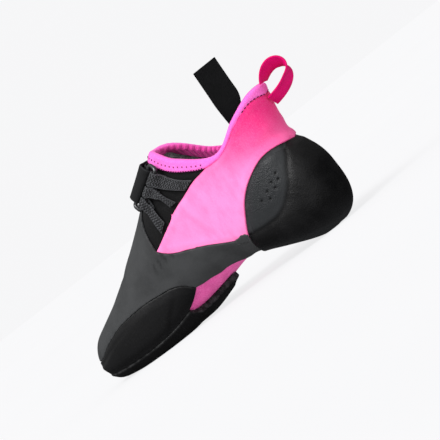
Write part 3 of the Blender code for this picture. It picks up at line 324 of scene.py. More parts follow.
class Last:
    """The surface that the upper and its coverings follow, kept as a fine table of points and normals."""

    WALL_COLUMNS = 6

    def __init__(self):
        self.look = LoopCurve(
            lambda k: station_at(k).look if k >= 0 else 360 - station_at(k).look, turn=-360)
        self.spine_x = LoopCurve(lambda k: station_at(k).spine_x * LAST_LENGTH / 100)
        self.spine_y = LoopCurve(lambda k: station_at(k).spine_y * BALL_WIDTH / 100)
        self.wall = [LoopCurve(lambda k, c=c: self.wall_size(k, c)) for c in range(self.WALL_COLUMNS)]
        places = [row.spine_x * LAST_LENGTH / 100 for row in STATIONS]
        keel = [row.keel * local_height(k) / 100 for k, row in enumerate(STATIONS)]
        ridge = [row.ridge * local_height(k) / 100 for k, row in enumerate(STATIONS)]
        self.keel = LineCurve(places, keel)
        self.ridge = LineCurve(places[:THROAT + 1], ridge[:THROAT + 1])
        behind = range(THROAT, HEEL + 1)
        self.collar_out, self.collar_up = [
            {side: [self.wall_size(side * k, column)**power for k in behind] for side in (-1, 1)}
            for column, power in ((6, 2), (7, 1))]

    @staticmethod
    def wall_size(k, column):
        size = local_height(k) if column % 2 else local_width(k)
        return wall_at(k)[column] * size / 100

    def collar(self, s):
        """(out, up) of the top edge: the ridge ahead of the throat and the collar behind it."""
        place = np.clip(np.abs(s), THROAT, HEEL) - THROAT
        low = np.minimum(np.floor(place).astype(int), HEEL - THROAT - 1)
        t = place - low
        found = []
        for tables, sign in ((self.collar_out, -1), (self.collar_up, 1)):
            inner, outer = [
                np.array([sign * tables[-side][1], *tables[side], tables[-side][-2]]) for side in (-1, 1)]
            p = [np.where(s < 0, inner[low + i], outer[low + i]) for i in range(4)]
            found.append(hermite(p[1], p[2], (p[2] - p[0]) / 2, (p[3] - p[1]) / 2, t))
        ahead = np.abs(s) <= THROAT
        out = np.where(ahead, 0, np.sqrt(np.maximum(found[0], 0)))
        return out, np.where(ahead, self.ridge(self.spine_x(s))[0], found[1])

    def frame(self, s):
        """The five points of each section as (out, up), and the directions of the curve there."""
        zero = 0 * s
        along = np.cos(np.radians(self.look(s)))
        x = self.spine_x(s)
        keel_up, keel_slope = self.keel(x)
        ridge_slope = self.ridge(np.minimum(x, self.ridge.x[-1]))[1]
        out, up = self.collar(s)
        keel = np.stack([zero, keel_up], -1)
        foot = np.stack([self.wall[0](s), self.wall[1](s)], -1)
        wide = np.stack([self.wall[2](s), self.wall[3](s)], -1)
        shoulder = np.stack([self.wall[4](s), self.wall[5](s)], -1)
        top = np.stack([out, up], -1)
        at_keel = unit(np.stack([zero + 1, keel_slope * along], -1))
        at_foot = unit(unit(foot - keel) + unit(wide - foot))
        at_wide = np.stack([zero, zero + 1], -1)
        at_shoulder = unit(unit(shoulder - wide) + unit(top - shoulder))
        over = unit(np.stack([zero - 1, -ridge_slope * along], -1))
        free = unit(1.6 * unit(top - shoulder) - 0.6 * at_shoulder)
        opened = np.clip(out / (0.2 * BALL_WIDTH), 0, 1)[..., None]
        at_top = unit(over * (1 - opened) + free * opened)
        points = np.stack([keel, foot, wide, shoulder, top], -2)
        return points, np.stack([at_keel, at_foot, at_wide, at_shoulder, at_top], -2)

    def rows_at(self, s, shares):
        """Points of the sections at some stations, one row for each share."""
        points, ways = self.frame(s)
        chords = np.linalg.norm(points[:, 1:] - points[:, :-1], axis=-1)
        steps = np.linspace(0, 1, SEGMENT_STEPS + 1)
        found = np.empty((len(s), len(shares), 2))
        for i in range(len(s)):
            runs = []
            for j in range(4):
                leave, arrive = ways[i, j] * chords[i, j], ways[i, j + 1] * chords[i, j]
                runs.append(hermite(points[i, j], points[i, j + 1], leave, arrive, steps[:, None]))
            under = lengths(runs[0])
            side = lengths(np.concatenate([runs[1][:-1], runs[2][:-1], runs[3]]))
            low = np.interp((1 + shares) * under[-1], under, steps)
            high = np.interp(shares * side[-1], side, np.linspace(1, 4, 3 * SEGMENT_STEPS + 1))
            share = np.where(shares <= 0, np.minimum(low, 1), high)
            j = np.where(shares <= 0, 0, np.clip(np.floor(share).astype(int), 1, 3))
            t = (share - j)[:, None]
            leave, arrive = [ways[i, at] * chords[i, j][:, None] for at in (j, j + 1)]
            found[i] = hermite(points[i, j], points[i, j + 1], leave, arrive, t)
        return found

    def tabulate(self):
        """Fill the table: points, normals, and the metres that one station and one share take up."""
        self.stations = np.linspace(-HEEL, HEEL, 2 * HEEL * TABLE_STEPS + 1)
        self.shares = share_rows(TABLE_FOOT, TABLE_WALL)
        rows = self.rows_at(self.stations, self.shares)
        look = np.radians(self.look(self.stations))[:, None]
        x = self.spine_x(self.stations)[:, None] + rows[..., 0] * np.cos(look)
        y = self.spine_y(self.stations)[:, None] + rows[..., 0] * np.sin(look)
        self.points = np.stack([x, y, rows[..., 1]], -1)
        around = np.concatenate([self.points[-2:-1], self.points, self.points[1:2]])
        along = (around[2:] - around[:-2]) / 2 * TABLE_STEPS
        along[:, 0] = along[:, 1]
        up = np.gradient(self.points, self.shares, axis=1)
        self.scale = np.stack([np.linalg.norm(along, axis=-1), np.linalg.norm(up, axis=-1)], -1)
        along[:, -1] = along[:, -2]
        normals = unit(np.cross(up, along))
        ridge = np.abs(self.stations) <= THROAT
        normals[:, 0] = unit(normals[:, 0] + normals[::-1, 0])
        normals[ridge, -1] = unit(normals[ridge, -1] + normals[::-1][ridge, -1])
        self.normals = normals

    def read(self, table, s, h):
        """A table's value at each place."""
        s = (np.asarray(s, float) + HEEL) % (2 * HEEL) * TABLE_STEPS
        h = np.interp(h, self.shares, np.arange(len(self.shares)))
        i = np.minimum(s.astype(int), len(self.stations) - 2)
        j = np.minimum(h.astype(int), len(self.shares) - 2)
        u, v = (s - i)[..., None], (h - j)[..., None]
        near = table[i, j] * (1 - u) + table[i + 1, j] * u
        far = table[i, j + 1] * (1 - u) + table[i + 1, j + 1] * u
        return near * (1 - v) + far * v

    def place(self, s, h, offset=0.0):
        """Points at a height over the surface."""
        s, h, offset = np.broadcast_arrays(*[np.asarray(value, float) for value in (s, h, offset)])
        away = unit(self.read(self.normals, s, h))
        return self.read(self.points, s, h) + away * offset[..., None]

    def scales(self, s, h):
        """Metres for one station and for one share at each place, side by side."""
        return self.read(self.scale, s, h)


def lengths(run):
    """How far along a line each of its points lies."""
    return np.concatenate([[0], np.cumsum(np.linalg.norm(np.diff(run, axis=0), axis=-1))])
def share_rows(foot, wall):
    """Evenly spaced shares: so many rows under the foot and so many up the wall."""
    return np.concatenate([np.linspace(-1, 0, foot, endpoint=False), np.linspace(0, 1, wall)])


def pairs(rows, columns):
    """Every row's value with every column's value, as two flat arrays."""
    return [grid.ravel() for grid in np.meshgrid(rows, columns, indexing="ij")]


LAST = Last()
LAST.tabulate()


def row_shift():
    """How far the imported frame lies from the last's own frame, level with the floor."""
    low, high = [np.array(corner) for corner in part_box("upper")]
    points = LAST.points.reshape(-1, 3)
    shift = (low + high - points.min(0) - points.max(0)) / 2
    return shift * (1, 1, 0)


SHIFT = row_shift()

# How finely the coverings are meshed, in stations, shares and metres
OUTLINE_STEP = 0.045
STATION_SPACING = 0.065
WALL_SPACING = 0.0155
FOOT_SPACING = 0.035
SQUASH = 5.0


def through(marks, step=OUTLINE_STEP):
    """A smooth line through marks, with points about a step of stations apart."""
    marks = [np.array(mark, float) for mark in marks]
    line = []
    for i in range(len(marks) - 1):
        a, b = marks[i], marks[i + 1]
        before = marks[i - 1] if i else 2 * a - b
        after = marks[i + 2] if i + 2 < len(marks) else 2 * b - a
        span = np.hypot(b[0] - a[0], 4 * (b[1] - a[1]))
        count = max(1, round(span / step))
        for t in np.arange(count) / count:
            line.append(hermite(a, b, (b - before) / 2, (after - a) / 2, t))
    return line + [marks[-1]]


def straight(start, end, share):
    """Points along one share, evenly spaced but closer at both ends."""
    count = max(2, round(abs(end - start) / OUTLINE_STEP))
    close = np.array([0.1, 0.3, 0.6]) / count
    ways = np.unique(np.concatenate([np.linspace(0, 1, count + 1), close, 1 - close]))
    return [np.array([start + (end - start) * way, share]) for way in ways]


def across(points):
    """The same line on the other side of the shoe, run backwards."""
    return [np.array([-s, h]) for s, h in reversed(points)]


def behind(points):
    """The same line carried on round the heel to the inner side, run backwards."""
    return [np.array([2 * HEEL - s, h]) for s, h in reversed(points)]


def wrapped_station(s):
    """The station between -12 and 12."""
    return (s + HEEL) % (2 * HEEL) - HEEL


def folded(s, h):
    """The places carried over to the outer side, as rows of station and share."""
    return np.stack([np.abs(wrapped_station(s)), h], -1)


def joined_ends(points):
    """Which points lie where the two sides meet, on the keel line or on the ridge."""
    around, share = folded(points[:, 0], points[:, 1]).T
    return (share <= -1) | ((share >= 1) & (around <= THROAT))


def matched(places, values):
    """The values, made equal where the two sides meet."""
    meets = np.flatnonzero(joined_ends(places))
    keys = np.round(folded(*places[meets].T), 4)
    group = np.unique(keys, axis=0, return_inverse=True)[1].ravel()
    values = np.array(values, float)
    if len(meets):
        values[meets] = (np.bincount(group, values[meets]) / np.bincount(group))[group]
    return values


def tidy_outline(points):
    """The outline without repeated points."""
    kept = []
    for point in points:
        if not kept or np.abs(point - kept[-1]).max() > 1e-6:
            kept.append(point)
    if np.abs(kept[0] - kept[-1]).max() < 1e-6:
        kept.pop()
    return np.array(kept)


def inset(outline, room):
    """The outline drawn in by some room. Points on the keel line and the ridge only slide along them."""
    scale = LAST.scales(outline[:, 0], outline[:, 1])
    after = np.roll(outline, -1, 0)
    before = np.roll(outline, 1, 0)
    way = unit(unit((after - outline) * scale) + unit((outline - before) * scale))
    twice_area = (outline[:, 0] * after[:, 1] - after[:, 0] * outline[:, 1]).sum()
    inward = np.stack([-way[:, 1], way[:, 0]], -1) * np.sign(twice_area)
    moved = outline + inward * room / scale
    joined = joined_ends(outline)
    both = (scale[:, 0] + LAST.scales(-outline[:, 0], outline[:, 1])[:, 0]) / 2
    slid = np.stack([np.round(inward[:, 0]) * room / both, 0 * both], -1)
    moved[joined] = (outline + slid)[joined]
    return moved


def inside(outline, points):
    """Which points lie inside an outline."""
    found = np.zeros(len(points), bool)
    for a, b in zip(outline, np.roll(outline, -1, 0)):
        if abs(b[1] - a[1]) > 1e-12:
            crosses = (a[1] > points[:, 1]) != (b[1] > points[:, 1])
            left = points[:, 0] < a[0] + (b[0] - a[0]) * (points[:, 1] - a[1]) / (b[1] - a[1])
            found ^= crosses & left
    return found


TINY = 1e-16


def run_distance(a, b, points, scale):
    """The metres from each place to one straight run, and the share of the run at its foot."""
    start = (points - a) * scale
    run = (b - a) * scale
    t = np.clip((start * run).sum(-1) / np.maximum((run * run).sum(-1), TINY), 0, 1)
    return np.linalg.norm(start - run * t[:, None], axis=-1), t


def line_distance(line, points, scale):
    """The metres from each place to a line drawn on the surface, and the share of the line at its foot."""
    nearest = np.full(len(points), np.inf)
    share = np.zeros(len(points))
    for i, (a, b) in enumerate(zip(line, line[1:])):
        away, t = run_distance(a, b, points, scale)
        closer = away < nearest
        nearest[closer] = away[closer]
        share[closer] = (i + t[closer]) / (len(line) - 1)
    return nearest, share


def edge_distance(outline, points):
    """The metres from each place to the outline's free edges."""
    scale = LAST.scales(points[:, 0], points[:, 1])
    joined = joined_ends(outline)
    nearest = np.full(len(points), np.inf)
    for i in range(len(outline)):
        if not (joined[i - 1] and joined[i]):
            nearest = np.minimum(nearest, run_distance(outline[i - 1], outline[i], points, scale)[0])
    return nearest


def border_of(faces):
    """The directed edges that only one face has."""
    edges = {(face[i], face[(i + 1) % len(face)]) for face in faces for i in range(len(face))}
    return [edge for edge in edges if (edge[1], edge[0]) not in edges]


SHARP = math.radians(55)
WELD = 2e-6
SAME_PLACE = 1e-7


def keep_values(mesh, name, values):
    """Keep one number, or one row of three, for each point of a mesh."""
    values = np.asarray(values, np.float32)
    kind, field = ("FLOAT", "value") if values.ndim == 1 else ("FLOAT_VECTOR", "vector")
    mesh.attributes.new(name, kind, "POINT").data.foreach_set(field, values.ravel())


def placed(name, data):
    """A new object in the scene."""
    made = bpy.data.objects.new(name, data)
    bpy.context.scene.collection.objects.link(made)
    return made


def body(name, points, faces, looks, place=None, edge=None, face_looks=()):
    """A closed piece from points and faces, with its materials, riding on the frame."""
    mesh = bpy.data.meshes.new(name)
    mesh.from_pydata([tuple(p) for p in points + SHIFT], [], [tuple(int(v) for v in f) for f in faces])
    if place is not None:
        keep_values(mesh, "place", place)
    if edge is not None:
        keep_values(mesh, "edge", edge)
    if len(face_looks):
        mesh.polygons.foreach_set("material_index", np.asarray(face_looks, np.int32))
    work = bmesh.new()
    work.from_mesh(mesh)
    bmesh.ops.remove_doubles(work, verts=work.verts, dist=WELD)
    loose = [v for v in work.verts if not v.link_faces]
    bmesh.ops.delete(work, geom=loose, context="VERTS")
    bmesh.ops.recalc_face_normals(work, faces=work.faces)
    work.to_mesh(mesh)
    work.free()
    mesh.shade_smooth()
    mesh.set_sharp_from_angle(angle=SHARP)
    for look in looks:
        mesh.materials.append(look)
    made = placed(name, mesh)
    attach(made, "root")
    return made


def lattice(outline, room):
    """The fine, staggered points of the surface inside an outline, with some room to its free edges."""
    low, high = outline[:, 0].min(), outline[:, 0].max()
    stations = np.arange(math.floor(low / STATION_SPACING), math.ceil(high / STATION_SPACING) + 1)
    shares = np.concatenate([
        np.arange(-1 + FOOT_SPACING, 0, FOOT_SPACING), np.arange(0, 1, WALL_SPACING)])
    s, h = np.meshgrid(stations * STATION_SPACING, shares, indexing="ij")
    stagger = np.where(np.arange(len(shares)) % 2, 0.5, 0) * STATION_SPACING * np.sign(s)
    grid = np.stack([(s + stagger).ravel(), h.ravel()], -1)
    grid = grid[inside(outline, grid)]
    return grid[edge_distance(outline, grid) > room]


def meshed(outline, groups):
    """The places and faces of a mesh inside an outline, through the points of some groups."""
    flat = [Vector((s, h * SQUASH)) for s, h in np.concatenate([outline, *groups])]
    found = delaunay_2d_cdt(flat, [], [list(range(len(outline)))], 1, SAME_PLACE)
    return np.array([(v.x, v.y / SQUASH) for v in found[0]]), [list(face) for face in found[2]]


def rounded(away, reach, depth):
    """The height lost towards an edge that is rounded within a reach."""
    return depth * (1 - np.sqrt(1 - np.clip(1 - away / reach, 0, 1)**2))


def places_of(made):
    """The stations and shares that a piece's points were made at."""
    spots = np.zeros(3 * len(made.data.vertices), np.float32)
    made.data.attributes["place"].data.foreach_get("vector", spots)
    return spots.reshape(-1, 3).T[:2].astype(float)


# Painted shade in narrow creases: creases narrower than the width darken the rubber, fully from the depth on
FOLD_SHADE_DEPTH = 0.0003
FOLD_SHADE_WIDTH = 0.002

# Rings of points that shape a rounded edge and the room that they need, in shares of the rounding
EDGE_RINGS = (0.12, 0.35, 0.7, 1.1)
RING_ROOM = 0.85
LATTICE_ROOM = 1.5


def cover(name, outline, low, thickness, look, rounding, relief=None, extra=(), gap=0.0001,
          floor=False, creases=()):
    """A covering of some thickness over the surface, inside an outline, with a rounded edge and relief."""
    outline = tidy_outline(inset(tidy_outline(outline), gap))
    groups = []
    for share in EDGE_RINGS:
        ring = inset(outline, rounding * share)
        fits = inside(outline, ring) & ~joined_ends(ring)
        groups.append(ring[fits & (edge_distance(outline, ring) > RING_ROOM * rounding * share)])
    places, faces = meshed(outline, [*groups, lattice(outline, LATTICE_ROOM * rounding), *extra])
    s, h = places.T
    away = edge_distance(outline, places)
    top = low + thickness - rounded(away, rounding, rounding)
    if relief:
        top = top + relief(s, h, away)
    top = matched(places, top + creased(s, h, creases))
    over = LAST.place(s, h, top)
    under = LAST.place(s, h, low)
    if floor:
        over[:, 2] = np.maximum(over[:, 2], 0)
        under[:, 2] = np.maximum(under[:, 2], 0.0001)
    count = len(places)
    joined = joined_ends(places)
    turned = [[count + i for i in reversed(face)] for face in faces]
    walls = [[b, a, count + a, count + b] for a, b in border_of(faces) if not (joined[a] and joined[b])]
    spot = np.tile(np.stack([s, h, top], -1), (2, 1))
    edge = np.concatenate([away, 0 * away]) * 1000
    made = body(name, np.concatenate([over, under]), faces + turned + walls, [look], spot, edge)
    # painted shade: the rubber is darkened along the narrow creases
    shaded_creases = [crease for crease in creases if crease.width < FOLD_SHADE_WIDTH]
    if shaded_creases:
        fold_shade = -creased(*places_of(made), shaded_creases) / FOLD_SHADE_DEPTH
        keep_values(made.data, "fold_shade", np.clip(fold_shade, 0, 1))
    return made


# A soft trough with raised shoulders along a line of marks, its width and depth in metres. The side is -1
# for the inner side of the shoe, 1 for the outer side and 0 for both
Crease = namedtuple("Crease", "side marks width depth")


def creased(s, h, creases):
    """The height that creases add at each place."""
    points = folded(s, h)
    scale = LAST.scales(s, h)
    height = 0 * s
    for crease in creases:
        away, share = line_distance(np.array(through(crease.marks, 0.12)), points, scale)
        reach = away / crease.width
        fade = np.sqrt(np.maximum(np.sin(np.pi * share), 0))
        shape = 0.4 * np.exp(-((reach - 1.7) / 0.7)**2) - np.exp(-reach**2)
        if crease.side:
            fade = fade * (np.sign(wrapped_station(s)) == crease.side)
        height += crease.depth * fade * shape
    return height


def lumps(s, h, size, height):
    """Soft uneven swells of a given size, the same at each run."""
    points = LAST.place(s, h) / size
    return height * np.array([noise.noise(Vector(p)) for p in points])


# Relief dies out within this reach of an edge
CALM_REACH = 0.003


def swells(s, h, away, size, height, calm=CALM_REACH):
    """Lumps that are calmed towards an edge, by the metres from it."""
    return shares_of(away, 0, calm) * lumps(s, h, size, height)


def shares_of(values, low, high):
    """A smooth step from 0 at low to 1 at high."""
    t = np.clip((values - low) / (high - low), 0, 1)
    return t * t * (3 - 2 * t)


def paint(red, green, blue):
    """A linear colour from the 0 to 255 values that a screen shows."""
    shares = np.array([red, green, blue]) / 255
    linear = np.where(shares > 0.04045, ((shares + 0.055) / 1.055)**2.4, shares / 12.92)
    return (*linear, 1)
def shade(colour, share):
    """A colour made darker."""
    return [share * c for c in colour[:3]] + [1]


class Nodes:
    """Short ways to add nodes to a tree."""

    def __init__(self, owner):
        owner.use_nodes = True
        self.tree = owner.node_tree

    def join(self, value, socket):
        if isinstance(value, bpy.types.NodeSocket):
            self.tree.links.new(value, socket)
        else:
            socket.default_value = value

    def node(self, kind, inputs=None, **settings):
        made = self.tree.nodes.new("ShaderNode" + kind)
        for setting, value in settings.items():
            setattr(made, setting, value)
        for socket, value in (inputs or {}).items():
            self.join(value, made.inputs[socket])
        return made

    def step(self, value, low, high, start=0.0, end=1.0):
        """A smooth change from start, where the value is low, to end, where it is high."""
        sockets = {"Value": value, 1: low, 2: high, 3: start, 4: end}
        return self.node("MapRange", sockets, interpolation_type="SMOOTHSTEP").outputs[0]


class Look(Nodes):
    """A procedural material, whose base colour is laid on in tints. Its lengths are in millimetres."""

    def __init__(self, name, colour, **sockets):
        self.material = bpy.data.materials.new(name)
        super().__init__(self.material)
        self.shader = self.tree.nodes["Principled BSDF"]
        self.base = colour
        self.place = self.stretched(1, 1, 1)
        for socket, value in sockets.items():
            self.shader.inputs[socket.replace("_", " ")].default_value = value

    def stretched(self, *stretch):
        """The place in the object's own frame, stretched along its axes."""
        place = self.node("TexCoord").outputs["Object"]
        scale = [1000 * share for share in stretch]
        return self.node("VectorMath", {0: place, 1: scale}, operation="MULTIPLY").outputs[0]

    def maths(self, operation, *values):
        return self.node("Math", dict(enumerate(values)), operation=operation).outputs[0]

    def times(self, first, second):
        return self.maths("MULTIPLY", first, second)

    def attribute(self, name):
        return self.node("Attribute", attribute_name=name).outputs["Fac"]

    def axis(self, axis, vector=None):
        """One axis of the place on the last or along a tape, unless another vector is given."""
        if vector is None:
            vector = self.node("Attribute", attribute_name="place").outputs["Vector"]
        return self.node("SeparateXYZ", {"Vector": vector}).outputs[axis]

    def noise(self, size, detail=2.0, rough=0.5, place=None):
        sockets = {"Vector": place or self.place, "Scale": 1 / size, "Detail": detail, "Roughness": rough}
        return self.node("TexNoise", sockets).outputs["Fac"]

    def cells(self, size, place=None):
        sockets = {"Vector": place or self.place, "Scale": 1 / size}
        return self.node("TexVoronoi", sockets, feature="F1").outputs["Distance"]

    def waves(self, value, size, sharp=False):
        """Waves from 0 to 1 along a value, one in each size."""
        wave = self.maths("MULTIPLY_ADD", self.maths("SINE", self.times(value, math.tau / size)), 0.5, 0.5)
        return self.step(wave, 0.25, 0.75) if sharp else wave

    def tint(self, share, colour, most=None):
        """Lay a colour over the base by a share, which is first scaled down to at most some value."""
        share = share if most is None else self.times(share, most)
        made = self.node("Mix", {0: share}, data_type="RGBA", clamp_factor=True)
        below, over = [socket for socket in made.inputs if socket.type == "RGBA"]
        self.join(self.base, below)
        self.join(colour, over)
        self.base = [socket for socket in made.outputs if socket.type == "RGBA"][0]

    def rub(self, reach, patchy, colour, most):
        """Wear the edges in patches, within a reach."""
        edge = self.step(self.attribute("edge"), 0.0, reach, 1.0, 0.0)
        self.tint(self.times(edge, self.step(self.noise(3.0), 0.35, patchy)), colour, most)

    def bump(self, height, depth, below=None):
        """A bump whose height of 1 stands for a depth."""
        sockets = {"Height": height, "Distance": depth / 1000, "Strength": 1.0}
        if below:
            sockets["Normal"] = below
        return self.node("Bump", sockets).outputs[0]

    def finish(self, rough=None, normal=None):
        for socket, value in (("Base Color", self.base), ("Roughness", rough), ("Normal", normal)):
            if value is not None:
                self.join(value, self.shader.inputs[socket])
        return self.material


def rubber(name, colour, worn, rough, grain, gloss):
    """Moulded rubber: soft patches, fine grain, a worn edge, a few pale scuffs and painted shade in narrow
    creases.
    """
    look = Look(name, colour, Specular_IOR_Level=gloss)
    patches = look.step(look.noise(14.0, 3.0), 0.35, 0.7)
    look.tint(patches, shade(colour, 0.78))
    look.tint(look.step(look.noise(0.45), 0.55, 0.8), worn, 0.25)
    look.rub(0.9, 0.65, worn, 0.55)
    streaks = look.step(look.noise(2.2, 4.0, 0.65, look.stretched(0.35, 1.0, 1.4)), 0.66, 0.78)
    look.tint(look.times(streaks, look.step(look.noise(26.0), 0.45, 0.62)), worn, 0.35)
    # painted shade: darker along narrow creases
    look.tint(look.attribute("fold_shade"), shade(colour, 0.3), 0.55)
    roughness = look.step(patches, 0.0, 1.0, rough - 0.05, rough + 0.07)
    fine = look.bump(look.noise(grain, 3.0, 0.6), 0.10)
    return look.finish(roughness, look.bump(look.noise(5.0), 0.22, fine))


VAMP_GREY = paint(58, 59, 60)
VAMP_WORN = paint(88, 88, 90)
RAND_BLACK = paint(18, 18, 19)
RAND_WORN = paint(64, 64, 65)
SOLE_BLACK = paint(15, 15, 16)
CUP_BLACK = paint(9, 9, 10)
CUP_WORN = paint(56, 57, 59)
PINK = paint(255, 132, 194)
PINK_DEEP = paint(228, 16, 114)
BINDING_PINK = paint(246, 92, 196)
# Painted shade for the binding's inner side
BINDING_SHADE = paint(232, 0, 150)
ARCH_PINK = paint(214, 78, 150)
LOOP_MAGENTA = paint(240, 0, 122)
LOOP_DARK = paint(208, 0, 98)
TAPE_BLACK = paint(17, 17, 18)
STRETCH_BLACK = paint(10, 10, 11)
LINING_GREY = paint(128, 130, 130)
FOOTBED_GREY = paint(84, 84, 88)


def pebbled_rubber():
    """The heel cup's rubber: a pebbled grain on its side panels, smoother round the back."""
    look = Look("heel_rubber", CUP_BLACK, Specular_IOR_Level=0.19)
    patches = look.step(look.noise(10.0, 3.0), 0.35, 0.7)
    panel = look.attribute("panel")
    look.tint(patches, paint(14, 14, 15))
    look.tint(panel, paint(46, 48, 50), 0.7)
    look.rub(0.8, 0.6, CUP_WORN, 0.5)
    specks = look.times(look.step(look.noise(1.3), 0.62, 0.75), look.step(panel, 0.0, 1.0, 0.08, 0.4))
    look.tint(specks, CUP_WORN)
    look.tint(look.step(look.axis("Y"), -0.1, 0.12, 1.0, 0.0), CUP_WORN, 0.3)
    # painted shade: the dimples are tinted near black
    look.tint(look.attribute("dimple"), paint(4, 4, 4))
    pebbles = look.times(look.cells(0.85), look.step(look.attribute("grain"), 0.0, 1.0, 0.25, 1.0))
    fine = look.bump(look.noise(0.3, 3.0, 0.6), 0.08)
    normal = look.bump(look.noise(4.0), 0.25, look.bump(pebbles, 0.30, fine))
    return look.finish(look.step(patches, 0.0, 1.0, 0.38, 0.48), normal)


def microfibre():
    """Fine pink microfibre: a short nap, brushed patches and a deeper pink towards the heel's top, which is
    partly painted shade.
    """
    look = Look("pink_microfibre", PINK, Roughness=0.8, Specular_IOR_Level=0.25, Sheen_Weight=0.25,
                Sheen_Roughness=0.4, Sheen_Tint=paint(255, 190, 228))
    # partly painted shade: deeper pink higher up and further back, standing in partly for the shade at the
    # heel's top
    rise = look.maths("MULTIPLY_ADD", look.axis("X", look.place), 0.55, look.axis("Z", look.place))
    look.tint(look.step(look.maths("MULTIPLY_ADD", look.noise(22.0), 18.0, rise), 90.0, 150.0), PINK_DEEP)
    brushed = look.noise(7.0, 4.0, 0.6, look.stretched(1.0, 1.0, 0.4))
    look.tint(look.step(brushed, 0.4, 0.7), PINK_DEEP, 0.22)
    nap = look.noise(0.6, 4.0, 0.7)
    look.tint(look.step(nap, 0.35, 0.75, 0.0, 0.16), paint(255, 176, 224))
    look.tint(look.step(look.attribute("edge"), 0.0, 0.8, 0.35, 0.0), PINK_DEEP)
    return look.finish(None, look.bump(look.noise(3.5, 3.0), 0.20, look.bump(nap, 0.10)))


def binding_cloth():
    """The collar's soft binding: light pink outside, ribbed inside with painted shade that makes it deeper
    pink, and a fine knit.
    """
    look = Look("pink_binding", BINDING_PINK, Roughness=0.75, Specular_IOR_Level=0.25, Sheen_Weight=0.3,
                Sheen_Tint=paint(255, 170, 225))
    # painted shade: the binding's inner side is tinted a deeper pink
    inner = look.step(look.axis("Z"), 0.35, 0.65)
    look.tint(inner, BINDING_SHADE)
    knit = look.cells(0.55, look.stretched(1.0, 1.0, 1.4))
    look.tint(look.step(knit, 0.2, 0.7, 0.0, 0.25), paint(255, 170, 226))
    ribs = look.times(look.waves(look.axis("X"), 2.3, sharp=True), inner)
    look.tint(ribs, paint(150, 6, 96), 0.45)
    return look.finish(None, look.bump(ribs, 0.35, look.bump(knit, 0.10)))


def woven(name, colour, lit, rib, rough, gloss, along=False, border=0.0):
    """Woven tape: fine ribs across it or along it, crossed by its threads, with a firmer edge."""
    look = Look(name, colour, Roughness=rough, Specular_IOR_Level=gloss)
    first, second = [look.axis(axis) for axis in ("YX" if along else "XY")]
    threads = look.maths("MULTIPLY_ADD", look.waves(second, 0.9 * rib), 0.5, 0.5)
    weave = look.times(look.waves(first, rib), threads)
    look.tint(weave, lit, 0.6)
    look.tint(look.step(look.noise(6.0, 3.0), 0.4, 0.7, 0.0, 0.35), shade(colour, 0.6))
    if border:
        look.tint(look.step(look.attribute("edge"), 0.3, 1.1, border, 0.0), lit)
    return look.finish(None, look.bump(weave, 0.12, look.bump(look.noise(0.5), 0.05)))


def knitted(name, colour, lit):
    """Knit webbing: rows of small zigzags along the ribbon, with smooth borders."""
    look = Look(name, colour, Roughness=0.72, Specular_IOR_Level=0.12, Sheen_Weight=0.02)
    turns = look.maths("FRACT", look.times(look.axis("Y"), 0.42))
    swing = look.maths("ABSOLUTE", look.maths("SUBTRACT", turns, 0.5))
    zigzag = look.waves(look.maths("MULTIPLY_ADD", swing, 2.4, look.axis("X")), 1.7, sharp=True)
    look.tint(look.times(zigzag, look.step(look.noise(1.1, 3.0), 0.35, 0.65, 0.3, 1.0)), lit)
    look.tint(look.step(look.attribute("edge"), 0.2, 1.0, 0.5, 0.0), lit)
    return look.finish(None, look.bump(zigzag, 0.18, look.bump(look.noise(0.4), 0.08)))


def stretch_cloth(name, colour, lit, size=0.7, depth=0.12):
    """Stretch knit or felt: a fine mesh of loops over soft patches."""
    look = Look(name, colour, Roughness=0.85, Specular_IOR_Level=0.15, Sheen_Weight=0.03)
    loops = look.cells(size)
    look.tint(look.step(loops, 0.2, 0.8, 0.0, 0.7), lit)
    look.tint(look.step(look.noise(8.0, 3.0), 0.4, 0.7, 0.0, 0.3), shade(colour, 0.6))
    return look.finish(None, look.bump(loops, depth, look.bump(look.noise(0.35), 0.05)))


def coated_metal():
    """Dark coated wire, worn a little brighter in patches."""
    look = Look("dark_coated_steel", paint(40, 41, 43), Metallic=0.6, Coat_Weight=0.3, Coat_Roughness=0.3)
    worn = look.step(look.noise(1.6, 4.0), 0.5, 0.72)
    look.tint(worn, paint(92, 93, 95))
    return look.finish(look.step(worn, 0.0, 1.0, 0.38, 0.28), look.bump(look.noise(0.5, 3.0), 0.04))


def thread(name, colour, lit):
    """Twisted sewing thread."""
    look = Look(name, colour, Roughness=0.6, Specular_IOR_Level=0.1)
    twist = look.noise(0.25)
    look.tint(look.step(twist, 0.35, 0.65), lit)
    return look.finish(None, look.bump(twist, 0.08))


def sheet(steps, shares):
    """A grid right round the shoe: its places, its faces, and those that join its top to a second layer."""
    stations = np.linspace(-HEEL, HEEL, 2 * HEEL * steps + 1)[:-1]
    count, rows = len(stations), len(shares)
    s, h = pairs(stations, shares)
    i, r = pairs(np.arange(count), np.arange(rows - 1))
    a, b = i * rows + r, (i + 1) % count * rows + r
    last = np.arange(count) * rows + rows - 1
    after = np.roll(last, -1)
    rim = np.stack([last, after, len(s) + after, len(s) + last], -1)
    return s, h, np.stack([a, b, b + 1, a + 1], -1), rim


# The sock's pink window under the arch, in stations and up to a share, and how high its folds may rise
WINDOW_STATIONS = (5.0, 8.7)
WINDOW_SHARE = 0.13
FOLD_RISE = 0.0004


